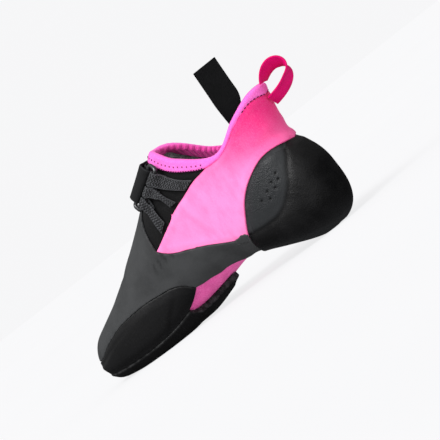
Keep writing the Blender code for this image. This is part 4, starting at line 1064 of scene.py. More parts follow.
def make_upper():
    """The sock with its lining: black stretch, pink under the arch, grey mesh inside."""
    s, h, rings, rim = sheet(14, share_rows(24, 64))
    outer = LAST.place(s, h, np.minimum(creased(s, h, STRETCH_FOLDS), FOLD_RISE))
    inner = LAST.place(s, h, -UPPER_WALL)
    around, share = np.abs(s[rings[:, 0]]), h[rings[:, 0]]
    pink = (share < WINDOW_SHARE) & (around > WINDOW_STATIONS[0]) & (around < WINDOW_STATIONS[1])
    rim = rim[np.abs(s[rim[:, :2]]).min(1) >= THROAT]
    faces = np.concatenate([rings, len(s) + rings[:, ::-1], rim])
    face_looks = np.concatenate([pink, np.full(len(rings) + len(rim), 2)])
    made = body("sock", np.concatenate([outer, inner]), faces, [STRETCH, ARCH, LINING],
                face_looks=face_looks)
    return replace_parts(made, "upper")


# The footbed's border, how far in it is rounded, in shares, by how much, and how deep the foot wears it
FOOTBED_SHARE = -0.02
FOOTBED_REACH = 0.06
FOOTBED_FALL = 0.0008
FOOTBED_WEAR = 0.0003


def make_footbed():
    """The footbed, felted, a little dished and with a rounded border."""
    top = -UPPER_WALL - INNER_CLEARANCE
    close = FOOTBED_SHARE - np.array([0.04, 0.02, 0.006, 0])
    shares = np.concatenate([np.linspace(-1, FOOTBED_SHARE - FOOTBED_REACH, 24), close])
    s, h, rings, rim = sheet(12, shares)
    fall = rounded(FOOTBED_SHARE - h, FOOTBED_REACH, FOOTBED_FALL)
    wear = FOOTBED_WEAR * np.exp(-((np.abs(s) - 2) / 1.6)**2) * np.clip(-h, 0, 1)
    over = LAST.place(s, h, top)
    under = LAST.place(s, h, top - INSOLE_THICKNESS + fall + wear)
    faces = np.concatenate([rings, len(s) + rings[:, ::-1], rim])
    made = body("footbed_felt", np.concatenate([over, under]), faces, [FOOTBED])
    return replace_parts(made, "insole")


STRETCH_FOLDS = (
    Crease(-1, (Mark(7.5, 0.78), Mark(7.9, 0.8), Mark(8.3, 0.84)), 0.0012, 0.0006),
    Crease(-1, (Mark(7.3, 0.70), Mark(7.5, 0.67), Mark(7.65, 0.64)), 0.0011, 0.0006),
    Crease(-1, (Mark(6.6, 0.62), Mark(6.9, 0.58), Mark(7.05, 0.53)), 0.0011, 0.0006),
    Crease(-1, (Mark(6.0, 0.72), Mark(6.05, 0.62), Mark(6.05, 0.52)), 0.0012, 0.0005),
)
VAMP_CREASES = (
    Crease(0, (Mark(5.50, 0.455), Mark(5.46, 0.42), Mark(5.40, 0.385)), 0.0009, 0.00045),
    Crease(0, (Mark(5.66, 0.455), Mark(5.66, 0.41), Mark(5.63, 0.37)), 0.0009, 0.00050),
    Crease(0, (Mark(5.84, 0.445), Mark(5.86, 0.40), Mark(5.88, 0.36)), 0.0009, 0.00050),
    Crease(0, (Mark(6.02, 0.405), Mark(6.08, 0.365), Mark(6.14, 0.33)), 0.0009, 0.00040),
    Crease(0, (Mark(4.2, 0.62), Mark(4.9, 0.60), Mark(5.5, 0.62)), 0.0060, 0.00045),
    Crease(0, (Mark(3.2, 0.80), Mark(3.6, 0.93), Mark(3.7, 0.99)), 0.0045, 0.00040),
    Crease(0, (Mark(4.1, 0.76), Mark(4.4, 0.90), Mark(4.5, 0.99)), 0.0045, 0.00045),
    Crease(0, (Mark(6.4, 0.19), Mark(7.1, 0.15), Mark(7.9, 0.13)), 0.0030, 0.00030),
)
RAND_CREASES = (
    Crease(0, (Mark(0.25, 0.185), Mark(1.2, 0.20), Mark(2.0, 0.245), Mark(2.9, 0.32), Mark(3.9, 0.335)),
           0.0011, 0.00030),
    Crease(0, (Mark(4.6, 0.05), Mark(5.0, 0.13), Mark(5.45, 0.19)), 0.0018, 0.00025),
)
QUARTER_CREASES = (
    Crease(0, (Mark(9.55, 0.99), Mark(9.75, 0.93), Mark(10.0, 0.89)), 0.0012, 0.00045),
    Crease(0, (Mark(9.9, 0.72), Mark(10.7, 0.70), Mark(11.7, 0.675)), 0.0035, 0.00060),
    Crease(0, (Mark(7.3, 0.30), Mark(8.0, 0.42), Mark(8.7, 0.62)), 0.0060, 0.00040),
    Crease(0, (Mark(8.9, 0.80), Mark(9.4, 0.74), Mark(10.2, 0.80)), 0.0060, 0.00045),
)


# How far in from their edges the thick rubbers thin down, and by how much
SKIVE = 0.0055
RAND_SKIVE = 0.0008
CUP_SKIVE = 0.0013
SOLE_SKIVE = 0.0016


def skived(away, depth):
    """The height lost towards an edge, by the metres from it."""
    return -depth * (1 - shares_of(away, 0, SKIVE))


def make_vamp():
    front, rear = through(BAND_FRONT), through(CUP_FRONT)
    throat = through([*(Mark(VAMP_END, share) for share in (1, 0.9, 0.75, 0.6)), BAND_TOP[0]])
    half = through(RAND_TOP) + front + straight(BAND_FRONT[-1].station, CUP_FRONT[0].station, -1) + rear
    half += through(BAND_TOP)[::-1] + throat[::-1]
    outline = half + straight(VAMP_END, -VAMP_END, 1) + across(half)

    def relief(s, h, away):
        return swells(s, h, away, 0.018, 0.00022)

    made = cover("vamp_skin", outline, SKIN_CLEARANCE, VAMP_THICKNESS, VAMP, 0.0008, relief,
                 creases=VAMP_CREASES)
    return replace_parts(made, "vamp_rubber")


def make_rand():
    top, end = through(RAND_TOP), through(RAND_END)
    outline = across(top)[:-1] + top + end
    outline += straight(RAND_END[-1].station, -RAND_END[-1].station, FOOT_EDGE_SHARE) + across(end)

    def relief(s, h, away):
        from_foot = np.maximum(h - FOOT_EDGE_SHARE, 0) * 40
        thin = skived(away, RAND_SKIVE) * np.minimum(from_foot, 1)
        return thin + swells(s, h, away, 0.02, 0.0002)

    made = cover("rand_skin", outline, SKIN_CLEARANCE, RAND_THICKNESS, RAND, 0.0011, relief,
                 gap=0, creases=RAND_CREASES)
    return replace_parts(made, "toe_rand")


def make_sole():
    end = through(SOLE_END)
    outline = across(end) + straight(-SOLE_END[0].station, SOLE_END[0].station, FOOT_EDGE_SHARE) + end
    outline += straight(SOLE_END[-1].station, -SOLE_END[-1].station, -1)

    def relief(s, h, away):
        from_side = (FOOT_EDGE_SHARE - h) * LAST.scales(s, h)[:, 1]
        return skived(from_side, SOLE_SKIVE) + lumps(s, h, 0.03, 0.0001)

    made = cover("sole_skin", outline, SKIN_CLEARANCE, OUTSOLE_THICKNESS, SOLE, 0.0012,
                 relief, gap=0, floor=True)
    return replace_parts(made, "outsole")


# The band's rear end, which laps over the quarter's lower corner
BAND_LAP = (
    Mark(8.10, 0.130), Mark(8.16, 0.185), Mark(8.28, 0.196), Mark(8.38, 0.215), Mark(8.50, 0.215),
    Mark(8.55, 0.19), Mark(8.47, 0.13),
)
LAP_THICKNESS = 0.0007


def make_lap():
    """The small lap at the rear end of the band, on both sides."""
    low = SKIN_CLEARANCE + VAMP_THICKNESS - 0.0002
    for side, word in ((-1, "inner"), (1, "outer")):
        outline = [np.array(mark) * (side, 1) for mark in BAND_LAP]
        cover("band_lap_" + word, outline, low, LAP_THICKNESS, VAMP, 0.0004)


# The ridge that bounds the cup's sunk side panel, and the small dimples in the panel
PANEL_RIDGE = (
    Mark(11.08, 0.62), Mark(10.68, 0.525), Mark(10.45, 0.475), Mark(10.23, 0.4), Mark(9.95, 0.325),
    Mark(9.73, 0.275), Mark(9.46, 0.233), Mark(9.18, 0.217), Mark(8.91, 0.2), Mark(8.5, 0.185),
)
PANEL_DEPTH = 0.0019
PANEL_STEP = 0.0028
PANEL_SLOPE = 0.0105
PANEL_CURVE = 1.7
GROOVE_DEPTH = 0.0003
GROOVE_WIDTH = 0.0012
DIMPLES = (
    Mark(10.06, 0.503), Mark(9.82, 0.476), Mark(9.60, 0.447), Mark(9.36, 0.42), Mark(10.02, 0.458),
    Mark(9.82, 0.424), Mark(9.56, 0.388),
)
DIMPLE_RADIUS = 0.0008
DIMPLE_DEPTH = 0.0007
GRAIN_CENTRE = Mark(9.35, 0.52)
PANEL_REST = (Mark(8.0, 0.15), Mark(8.0, 1.0), Mark(11.08, 1.0))


def panel_depths(s, h):
    """How far each place lies inside the cup's side panel, in metres from the ridge."""
    points = folded(s, h)
    line = through(PANEL_RIDGE, 0.1)
    away, _ = line_distance(line, points, LAST.scales(s, h))
    return np.where(inside(np.array([*line, *PANEL_REST]), points), away, -away)


def dimple_reaches(s, h):
    """How many dimple radii each place lies from each dimple."""
    scale = LAST.scales(s, h)
    away = [np.linalg.norm((folded(s, h) - np.array(dimple)) * scale, axis=-1) for dimple in DIMPLES]
    return np.array(away) / DIMPLE_RADIUS


def dimple_points():
    """Extra mesh points round each dimple, on both sides of the cup."""
    found = []
    for dimple in DIMPLES:
        for side in (-1, 1):
            centre = np.array([[side * dimple.station % (2 * HEEL), dimple.share]])
            scale = LAST.scales(centre[:, 0], centre[:, 1])
            found.append(centre)
            for reach in (0.35, 0.7, 1.0, 1.4):
                angles = np.arange(8) * math.tau / 8 + reach
                ring = np.stack([np.cos(angles), np.sin(angles)], -1) * reach * DIMPLE_RADIUS
                found.append(centre + ring / scale)
    return np.concatenate(found)


def make_cup():
    rim, front = through(CUP_TOP), through(CUP_FRONT)
    outline = front + rim + behind(rim)[1:] + behind(front)
    outline += straight(2 * HEEL - CUP_FRONT[0].station, CUP_FRONT[0].station, -1)

    def relief(s, h, away):
        into = panel_depths(s, h)
        depth = -PANEL_DEPTH * np.clip(1 + into / PANEL_SLOPE, 0, 1)**PANEL_CURVE
        depth -= GROOVE_DEPTH * np.exp(-(into / GROOVE_WIDTH)**2)
        for reach in dimple_reaches(s, h):
            depth -= DIMPLE_DEPTH * np.exp(-reach**2)
        depth += skived(away, CUP_SKIVE) * shares_of(h, -0.1, 0.1)
        return depth + swells(s, h, away, 0.016, 0.00025)

    made = cover("cup_skin", outline, SKIN_CLEARANCE, CUP_THICKNESS, CUP, 0.0009, relief,
                 [dimple_points()], floor=True)
    s, h = places_of(made)
    panel = shares_of(panel_depths(s, h), 0, PANEL_STEP)
    from_centre = np.linalg.norm((folded(s, h) - np.array(GRAIN_CENTRE)) * (1, 4), axis=-1)
    keep_values(made.data, "panel", panel)
    # how near each place lies to a dimple, used to paint shade into the dimples
    keep_values(made.data, "dimple", np.exp(-dimple_reaches(s, h).min(0)**2))
    keep_values(made.data, "grain", panel * shares_of(from_centre, 0.95, 0.45))
    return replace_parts(made, "heel_cup")


# The soft roll along the quarter's edge: its height, its place in from the edge and its width
HEM_HEIGHT = 0.0004
HEM_PLACE = 0.003
HEM_WIDTH = 0.0015


def make_quarter():
    band, rim = through(BAND_TOP), through(CUP_TOP)
    low = band + rim + behind(rim)[1:] + behind(band)
    front = through(QUARTER_FRONT)
    binding = [p for p in through(BINDING_LOW) if p[0] > QUARTER_FRONT[-1].station + 0.01]
    high = front + binding + behind(binding)[1:] + behind(front)

    def relief(s, h, away):
        roll = HEM_HEIGHT * np.exp(-((away - HEM_PLACE) / HEM_WIDTH)**2)
        return creased(s, h, QUARTER_CREASES) + roll + swells(s, h, away, 0.022, 0.0004, 0.004)

    made = cover("quarter_skin", low + high[::-1], SKIN_CLEARANCE, QUARTER_THICKNESS, MICROFIBRE,
                 0.0006, relief)
    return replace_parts(made, "quarter")


# The binding: how softly its lower edge falls, its gathers, and the steps of its roll over the rim
BINDING_SOFT = 0.0007
GATHER_HEIGHT = 0.00012
GATHER_LENGTH = 2.2
MILLIMETRES = (20, 100)
ROLL_STEPS = 8
ROLL_FULLNESS = 1.25
RIM_STEP = 0.03


def make_binding():
    """The soft band folded over the collar's edge, ribbed on its inner side."""
    low_edge = through(BINDING_LOW)
    rim = straight(THROAT, 2 * HEEL - THROAT, 1)
    front = straight(THROAT, BINDING_LOW[0].station, 1)
    outline = behind(front)[:-1] + rim[::-1] + front[1:] + low_edge[1:] + behind(low_edge)[1:-1]
    outline = tidy_outline(outline)
    places, faces = meshed(outline, [lattice(outline, 0.0004)])
    s, h = places.T
    around = np.abs(wrapped_station(s))
    low_share = np.interp(around, *np.array(low_edge).T)
    from_low = (h - low_share) * LAST.scales(s, h)[:, 1]
    soft = matched(places, rounded(from_low, BINDING_SOFT, BINDING_SOFT))
    gathers = GATHER_HEIGHT * np.sin(around * MILLIMETRES[0] * math.tau / GATHER_LENGTH)
    room, thick = BINDING_CLEARANCE, BINDING_THICKNESS
    within = UPPER_WALL + INNER_CLEARANCE
    heights = (room + thick - soft + gathers, room, -within, -within - thick + soft - gathers)
    points = [LAST.place(s, h, height) for height in heights]
    sides = [0, 0, 1, 1]
    along = LAST.place(np.minimum(s + RIM_STEP, 2 * HEEL - THROAT), h)
    along -= LAST.place(np.maximum(s - RIM_STEP, THROAT), h)
    along[around <= THROAT] = (0, 1, 0)
    past = unit(np.cross(along, LAST.place(s, h, 1) - LAST.place(s, h, 0)))
    for first, last, lift in ((0, 3, room + thick), (1, 2, room)):
        middle = (points[first] + points[last]) / 2
        reach = (points[first] - points[last]) / 2
        for step in range(1, ROLL_STEPS):
            angle = math.pi * step / ROLL_STEPS
            points.append(middle + reach * math.cos(angle) + past * lift * math.sin(angle) * ROLL_FULLNESS)
            sides.append(step / ROLL_STEPS)
    count = len(places)
    shapes = []
    for i in range(4):
        shapes += [[i * count + v for v in (face[::-1] if i % 2 else face)] for face in faces]
    rolls = ([0, *range(4, 3 + ROLL_STEPS), 3], [1, *range(3 + ROLL_STEPS, 2 + 2 * ROLL_STEPS), 2])
    on_rim = (h >= 1) & (around >= THROAT)
    joined = joined_ends(places)
    for a, b in border_of(faces):
        if joined[a] and joined[b] and not (on_rim[a] and on_rim[b]):
            continue
        for chain in rolls if on_rim[a] and on_rim[b] else ((0, 1), (2, 3)):
            for i, j in zip(chain, chain[1:]):
                shapes.append([b + i * count, a + i * count, a + j * count, b + j * count])
    scaled = places * MILLIMETRES
    spot = np.concatenate([np.column_stack([scaled, np.full(count, side)]) for side in sides])
    edge = np.tile(from_low * 1000, len(sides))
    made = body("binding_band", np.concatenate(points), shapes, [BINDING], spot, edge)
    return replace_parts(made, "collar_binding")


def smooth_run(rows, places=None, spacing=0.0008):
    """Rows of points along a smooth line through some rows, at given lengths along it or a spacing apart."""
    rows = np.asarray(rows, float)
    steps = np.linalg.norm(np.diff(rows, axis=0), axis=-1).mean(1)
    wide = steps[:, None, None]
    slopes = np.diff(rows, axis=0) / wide
    inner = (slopes[:-1] * wide[1:] + slopes[1:] * wide[:-1]) / (wide[1:] + wide[:-1])
    ways = np.concatenate([slopes[:1], inner, slopes[-1:]])
    ends = np.concatenate([[0], np.cumsum(steps)])
    if places is None:
        places = np.linspace(0, ends[-1], max(2, round(ends[-1] / spacing) + 1))
    i = np.clip(np.searchsorted(ends, places, "right") - 1, 0, len(steps) - 1)
    t = ((places - ends[i]) / steps[i])[:, None, None]
    return hermite(rows[i], rows[i + 1], ways[i] * wide[i], ways[i + 1] * wide[i], t), places


# How finely a tape is meshed across, in metres, and the close rows at its rounded edges, in shares of them
TAPE_SPACING = 0.0011
TAPE_EDGE = (0, 0.05, 0.2, 0.5, 1.0)
WIRE_SIDES = 14


def tape(name, middles, thickness, look, node):
    """A woven band through rows of points, with rounded long edges and square ends."""
    rows, along = smooth_run(middles)
    columns = rows.transpose(1, 0, 2)
    breadth = np.linalg.norm(np.diff(columns, axis=0), axis=-1).mean(1).sum()
    rounding = thickness / 2
    close = rounding * np.array(TAPE_EDGE)
    middle = np.linspace(rounding, breadth - rounding, max(4, round(breadth / TAPE_SPACING)))[1:-1]
    side = np.concatenate([close, middle, breadth - close[::-1]])
    points = smooth_run(columns, side)[0].transpose(1, 0, 2)
    normals = unit(np.cross(np.gradient(points, axis=0), np.gradient(points, axis=1)))
    inward = np.minimum(side, breadth - side)
    lift = normals * (rounding - rounded(inward, rounding, rounding))[None, :, None]
    count, width = points.shape[:2]
    layers = np.concatenate([(points + lift).reshape(-1, 3), (points - lift).reshape(-1, 3)])
    total = count * width
    i, j = pairs(np.arange(count - 1), np.arange(width - 1))
    a = i * width + j
    rings = np.stack([a, a + width, a + width + 1, a + 1], -1)
    faces = [rings, total + rings[:, ::-1]]
    for row in (0, count - 1):
        ends = row * width + np.arange(width)
        faces.append(np.stack([ends[:-1], ends[1:], total + ends[1:], total + ends[:-1]], -1))
    x, y = pairs(along * 1000, side * 1000)
    spot = np.tile(np.stack([x, y, 0 * x], -1), (2, 1))
    edge = np.tile(inward * 1000, 2 * count)
    made = body(name, layers, np.concatenate(faces), [look], spot, edge)
    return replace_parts(made, node)


def wire(name, points, radius, look):
    """A round wire along a closed run of points."""
    points = np.array(points)
    run = unit(np.roll(points, -1, 0) - np.roll(points, 1, 0))
    wide = unit(np.cross(run, RING.out))
    high = np.cross(run, wide)
    angles = np.arange(WIRE_SIDES) * math.tau / WIRE_SIDES
    around = np.cos(angles)[None, :, None] * wide[:, None] + np.sin(angles)[None, :, None] * high[:, None]
    rings = points[:, None] + around * radius
    i, j = pairs(np.arange(len(points)), np.arange(WIRE_SIDES))
    a, b = i * WIRE_SIDES, (i + 1) % len(points) * WIRE_SIDES
    beside = (j + 1) % WIRE_SIDES
    faces = np.stack([a + j, b + j, b + beside, a + beside], -1)
    return body(name, rings.reshape(-1, 3), faces, [look])


# The search for the foot of a point: places each way, rounds, and the reach left after each
SEARCH_STEPS = 9
SEARCH_ROUNDS = 6
SEARCH_SHARE = 0.35


def foot_below(point):
    """The place (s, h) of the surface nearest to a point over the closure."""
    low, high = np.array(BAR_AREA)
    centre, reach = (low + high) / 2, (high - low) / 2
    steps = np.linspace(-1, 1, SEARCH_STEPS)
    for _ in range(SEARCH_ROUNDS):
        s, h = pairs(centre[0] + reach[0] * steps, np.minimum(centre[1] + reach[1] * steps, 1))
        nearest = np.argmin(np.linalg.norm(LAST.place(s, h) - point, axis=1))
        centre = np.array([s[nearest], h[nearest]])
        reach = reach * SEARCH_SHARE
    return centre


class Ring:
    """The frame of the closure's ring: where its two bars run, and which way is out and up the instep."""

    def __init__(self):
        rear, front = [LAST.place(mark.station, mark.share, BAR_HEIGHT) for mark in NEAR_BAR]
        feet = [LAST.place(mark.station, mark.share) for mark in NEAR_BAR]
        self.start = rear
        self.run = front - rear
        along = unit(self.run)
        out = rear - feet[0] + front - feet[1]
        self.out = unit(out - along * (out @ along))
        up = np.cross(self.out, along)
        self.up = up * np.sign(up[2])
        self.along = along

    def near(self, t):
        return self.start + self.run * t

    def far(self, t):
        return self.near(t) + self.up * BAR_SPACING


RING = Ring()


CORNER_STEPS = 8


def make_ring():
    """The slim wire ring with round corners and two long bars."""
    middle = (RING.near(0.5) + RING.far(0.5)) / 2
    half_run = np.linalg.norm(RING.run) / 2 + BAR_OVERRUN + RING_CORNER
    half_rise = BAR_SPACING / 2
    points = []
    for turn, (x, y) in enumerate(((1, 1), (-1, 1), (-1, -1), (1, -1))):
        for part in range(CORNER_STEPS + 1):
            angle = math.radians(90 * turn + 90 / CORNER_STEPS * part)
            along = x * (half_run - RING_CORNER) + RING_CORNER * math.cos(angle)
            up = y * (half_rise - RING_CORNER) + RING_CORNER * math.sin(angle)
            points.append(middle + RING.along * along + RING.up * up)
    made = wire("ring_wire", points, BAR_DIAMETER / 2, METAL)
    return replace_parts(made, "strap_ring")


def wrapped(centre, radius, first, last, count):
    """Points round a bar, by angles in degrees from straight out, turning towards the ridge."""
    angles = np.radians(np.linspace(first, last, count))
    return [centre + radius * (math.cos(a) * RING.out + math.sin(a) * RING.up) for a in angles]


def ribbon_path(start, bar_share):
    """One line along a ribbon: from the quarter's edge, over the bar, round it and back underneath."""
    thick = RIBBON_THICKNESS
    low = SKIN_CLEARANCE + thick / 2
    raised = low + thick + 2 * CLEARANCE
    centre = RING.near(bar_share)
    foot = foot_below(centre)
    start = np.array(start)
    length = np.linalg.norm(LAST.place(*start) - LAST.place(*foot))
    radius = BAR_DIAMETER / 2 + CLEARANCE + thick / 2

    def at(distance, height):
        s, h = foot + (start - foot) * distance / length
        return LAST.place(s, h, height)

    halfway = (length + RIBBON_RETURN) / 2 + RIBBON_SLACK
    over = [at(length, low), at(halfway, (low + raised) / 2)]
    over += [at(rise.share * RIBBON_RETURN, raised + rise.lift) for rise in RIBBON_RISES]
    turned = wrapped(centre, radius, RIBBON_WRAP_START, RIBBON_WRAP_END, 8)
    back = [at(rise.share * RIBBON_RETURN, low + rise.lift) for rise in RIBBON_TAIL]
    return over + turned + back


def make_ribbon(ribbon):
    lines = []
    for t in np.linspace(0, 1, 5):
        start = np.array(ribbon.rear_corner) * (1 - t) + np.array(ribbon.front_corner) * t
        bar_share = ribbon.bar_start * (1 - t) + ribbon.bar_end * t
        lines.append(ribbon_path(start, bar_share))
    return tape(ribbon.name + "_tape", np.array(lines).transpose(1, 0, 2), RIBBON_THICKNESS, KNIT,
                ribbon.name)


def strap_line(t):
    """One line along the strap, at a share of its width: up the outer side, round the far bar and back."""
    gap = STRAP_THICKNESS + STRAP_FOLD_GAP
    shares = [row.share for row in STRAP_ROWS]
    stations = [row.rear * (1 - t) + row.front * t for row in STRAP_ROWS]
    heights = [row.height for row in STRAP_ROWS]

    def beside(share, lift):
        station = np.interp(share, shares, stations)
        return LAST.place(station, share, np.interp(share, shares, heights) + lift)

    centre = RING.far(0.03 + 0.94 * t)
    radius = BAR_DIAMETER / 2 + CLEARANCE + STRAP_THICKNESS / 2
    lower = [beside(share, 0) for share in shares]
    upper = [beside(share, gap) for share in (1, 0.9, 0.8, 0.72, STRAP_TIP)]
    inward = np.array([0, -1, 0])
    under = centre - RING.out * radius
    span = np.linalg.norm(under - lower[-1])
    rise = [hermite(lower[-1], under, inward * span, -RING.up * span, u) for u in (0.25, 0.5, 0.75, 1)]
    over = centre + RING.out * radius
    span = np.linalg.norm(over - upper[0])
    fall = [hermite(over, upper[0], RING.up * span, -inward * span, u) for u in (0, 0.25, 0.5, 0.75)]
    return lower + rise + wrapped(centre, radius, 180, 360, 7)[1:-1] + fall + upper


def make_strap():
    lines = np.array([strap_line(t) for t in np.linspace(0, 1, 9)])
    return tape("strap_tape", lines.transpose(1, 0, 2), STRAP_THICKNESS, STRAP,
                "closure_strap")


# Where the tab's rows lie over the collar, and from where it is flat, in shares of its free length
TAB_HEIGHTS = (0.08, 0.18, 0.32, 0.55, 1)
TAB_FLAT_FROM = 0.32


def make_collar_tab():
    """The flat tape inside the collar, which stands up over it."""
    depth = UPPER_WALL + INNER_CLEARANCE + BINDING_THICKNESS + 2 * CLEARANCE + PULL_THICKNESS / 2
    across_tab = np.linspace(-0.5, 0.5, 7) * TAB_WIDTH
    along = LAST.scales(TAB_STATION, 1.0)[0]
    wall = lengths(LAST.place(TAB_STATION, np.linspace(0, 1, 81)))[-1]
    stations = TAB_STATION + across_tab / along
    rows = [LAST.place(stations, 1 - TAB_SEAT * seat / wall, -depth) for seat in (1, 0.6, 0.3, 0)]
    rim = rows[-1]
    level = unit((rim[-1] - rim[0]) * (1, 1, 0))
    up = np.array([0, math.sin(TAB_LEAN), math.cos(TAB_LEAN)])
    for height in np.array(TAB_HEIGHTS) * TAB_FREE_LENGTH:
        flat = rim.mean(0) + across_tab[:, None] * level + up * height
        t = shares_of(height, 0, TAB_FLAT_FROM * TAB_FREE_LENGTH)
        rows.append((rim + up * height) * (1 - t) + flat * t)
    return tape("tab_tape", np.array(rows), PULL_THICKNESS, BLACK_TAPE, "collar_pull_tab")


def direction(round_way, up_way):
    """A unit vector from degrees round from the heel's way and degrees up from level."""
    a, b = math.radians(round_way), math.radians(up_way)
    return np.array([math.cos(b) * math.cos(a), math.cos(b) * math.sin(a), math.sin(b)])


def loop_point(turn, width_share):
    """A point on the heel loop's middle surface, by degrees round from its seat and share of its width."""
    half = np.radians(turn)[..., None] / 2
    reach = direction(HEEL_LOOP.reach_round, HEEL_LOOP.reach_up)
    side = unit(np.cross((0, 0, 1), reach))
    roll = math.radians(HEEL_LOOP.roll)
    spread = np.cross(reach, side) * math.cos(roll) + side * math.sin(roll)

    def middle(half):
        out = HEEL_LOOP_REACH * np.sin(half)**2
        wide = HEEL_LOOP_SPREAD * np.sin(2 * half) * np.abs(np.sin(half))**LOOP_NARROWING / 2
        apart = (PULL_THICKNESS + CLEARANCE) / 2 * np.cos(half)
        seat = LAST.place(HEEL, HEEL_LOOP.seat_share, -HEEL_LOOP.depth)
        return seat + reach * out + spread * (wide + apart)

    step = 0.01
    ahead, back = np.minimum(half + step, math.pi), np.maximum(half - step, 0)
    run = unit(middle(ahead) - middle(back))
    far = np.sin(half)**2
    width = direction(HEEL_LOOP.seat_round, HEEL_LOOP.seat_up) * (1 - far)
    width = width + direction(HEEL_LOOP.end_round, HEEL_LOOP.end_up) * far
    width = unit(width - run * (run * width).sum(-1)[..., None])
    return middle(half) + width * HEEL_LOOP_WIDTH * width_share


def make_heel_loop():
    room = SKIN_CLEARANCE + QUARTER_THICKNESS + 2.5 * CLEARANCE + PULL_THICKNESS / 2
    seam = LAST.place(HEEL, np.linspace(0.6, 1, 21), room)
    turns = np.linspace(0, 360, 361)
    lines = []
    for width_share in (-0.5, -0.25, 0, 0.25, 0.5):
        fine = loop_point(turns, width_share)
        clear = np.flatnonzero(fine[:, 0] > np.interp(fine[:, 2], seam[:, 2], seam[:, 0]))
        lines.append(loop_point(np.linspace(turns[clear[0]], turns[clear[-1]], 41), width_share))
    return tape("loop_tape", np.array(lines).transpose(1, 0, 2), PULL_THICKNESS, MAGENTA,
                "heel_pull_loop")


# The shape of a stitch: its sides, and shares along it with the shares of its radius there
STITCH_SIDES = 6
STITCH_RINGS = ((0, 0.05), (0.12, 0.7), (0.5, 1.0), (0.88, 0.7), (1, 0.05))
STITCH_FLATNESS = 0.7


def stitches(name, line, length, spacing, radius):
    """Small stitches lying on the binding along a line of places, as one joined piece."""
    height = BINDING_CLEARANCE + BINDING_THICKNESS
    ends = lengths(LAST.place(line[:, 0], line[:, 1], height))
    points, faces = [], []
    for start in np.arange(spacing / 2, ends[-1] - length, spacing):
        spots = np.array([np.interp([start, start + length], ends, line[:, c]) for c in (0, 1)]).T
        first, last = LAST.place(spots[:, 0], spots[:, 1], height)
        out = unit(LAST.place(*spots[0], 1.0) - LAST.place(*spots[0], 0.0))
        run = last - first
        wide = unit(np.cross(out, run))
        base = len(points)
        for share, size in STITCH_RINGS:
            for angle in np.arange(STITCH_SIDES) * math.tau / STITCH_SIDES:
                turned = math.cos(angle) * wide + STITCH_FLATNESS * math.sin(angle) * out
                points.append(first + run * share + turned * radius * size)
        rings = base + np.arange(len(STITCH_RINGS) * STITCH_SIDES).reshape(-1, STITCH_SIDES)
        for ring, after in zip(rings, rings[1:]):
            faces += np.stack([ring, np.roll(ring, -1), np.roll(after, -1), after], -1).tolist()
        faces += [rings[0, ::-1].tolist(), rings[-1].tolist()]
    return body(name, np.array(points), faces, [DARK_THREAD])


# Where the stitch rows run, in stations: the collar's front and the heel's top
FRONT_SEAM = (7.0, 8.62)
HEEL_SEAM = (10.3, 12)


def make_seams():
    """The thread on the binding: a scalloped edge, a row of dots and the dashes at the heel's top."""
    low = np.array(through(BINDING_LOW))
    front, heel = [
        low[(low[:, 0] > first) & (low[:, 0] < last)] for first, last in (FRONT_SEAM, HEEL_SEAM)]
    middle = np.stack([front[:, 0], 0.45 * front[:, 1] + 0.55], -1)
    rows = (
        ("edge", front + (0, 0.005), 0.0011, 0.0019, 0.00045), ("dot", middle, 0.0009, 0.0033, 0.00062),
        ("heel", heel + (0, 0.003), 0.0018, 0.0028, 0.00026),
    )
    for side, word in ((-1, "inner"), (1, "outer")):
        for row, line, length, spacing, radius in rows:
            stitches(f"{row}_stitches_{word}", line * (side, 1), length, spacing, radius)


VAMP = rubber("vamp_rubber", VAMP_GREY, VAMP_WORN, 0.62, 0.35, 0.12)
RAND = rubber("rand_rubber", RAND_BLACK, RAND_WORN, 0.5, 0.3, 0.14)
SOLE = rubber("sole_rubber", SOLE_BLACK, RAND_WORN, 0.5, 0.3, 0.14)
CUP = pebbled_rubber()
MICROFIBRE = microfibre()
BINDING = binding_cloth()
MAGENTA = woven("magenta_tape", LOOP_DARK, LOOP_MAGENTA, rib=1.1, along=True, rough=0.6, gloss=0.12)
BLACK_TAPE = woven("black_tape", paint(4, 4, 5), paint(15, 16, 17), rib=0.7, rough=0.5, gloss=0.05,
                   border=0.4)
STRAP = woven("strap_webbing", TAPE_BLACK, paint(40, 41, 43), rib=0.5, rough=0.7, gloss=0.12, border=0.8)
KNIT = knitted("black_webbing", paint(24, 24, 25), paint(80, 81, 84))
STRETCH = stretch_cloth("stretch_sock", STRETCH_BLACK, paint(24, 24, 25))
ARCH = stretch_cloth("arch_pink", ARCH_PINK, paint(232, 110, 178))
LINING = stretch_cloth("mesh_lining", LINING_GREY, paint(205, 207, 207), size=1.3, depth=0.3)
FOOTBED = stretch_cloth("footbed", FOOTBED_GREY, paint(110, 110, 114), size=0.9, depth=0.15)
METAL = coated_metal()
DARK_THREAD = thread("purple_thread", paint(44, 4, 34), paint(84, 14, 64))


BACKDROP = (0.925, 0.925, 0.935, 1)
FLOOR_GLOW = 0.86
FLOOR_REACH = 60.0


def make_stage():
    """A wide pale floor that glows a little, so that its shadows stay soft."""
    mesh = bpy.data.meshes.new("floor")
    corners = [(x * FLOOR_REACH, y * FLOOR_REACH, 0) for x, y in ((-1, -1), (1, -1), (1, 1), (-1, 1))]
    mesh.from_pydata(corners, [], [(0, 1, 2, 3)])
    look = Look("floor", paint(92, 92, 93), Roughness=1.0, Specular_IOR_Level=0.0,
                Emission_Strength=FLOOR_GLOW, Emission_Color=BACKDROP)
    look.tint(look.step(look.noise(400.0), 0.3, 0.7), paint(94, 94, 95))
    mesh.materials.append(look.finish())
    floor = placed("floor", mesh)
    floor.visible_glossy = False


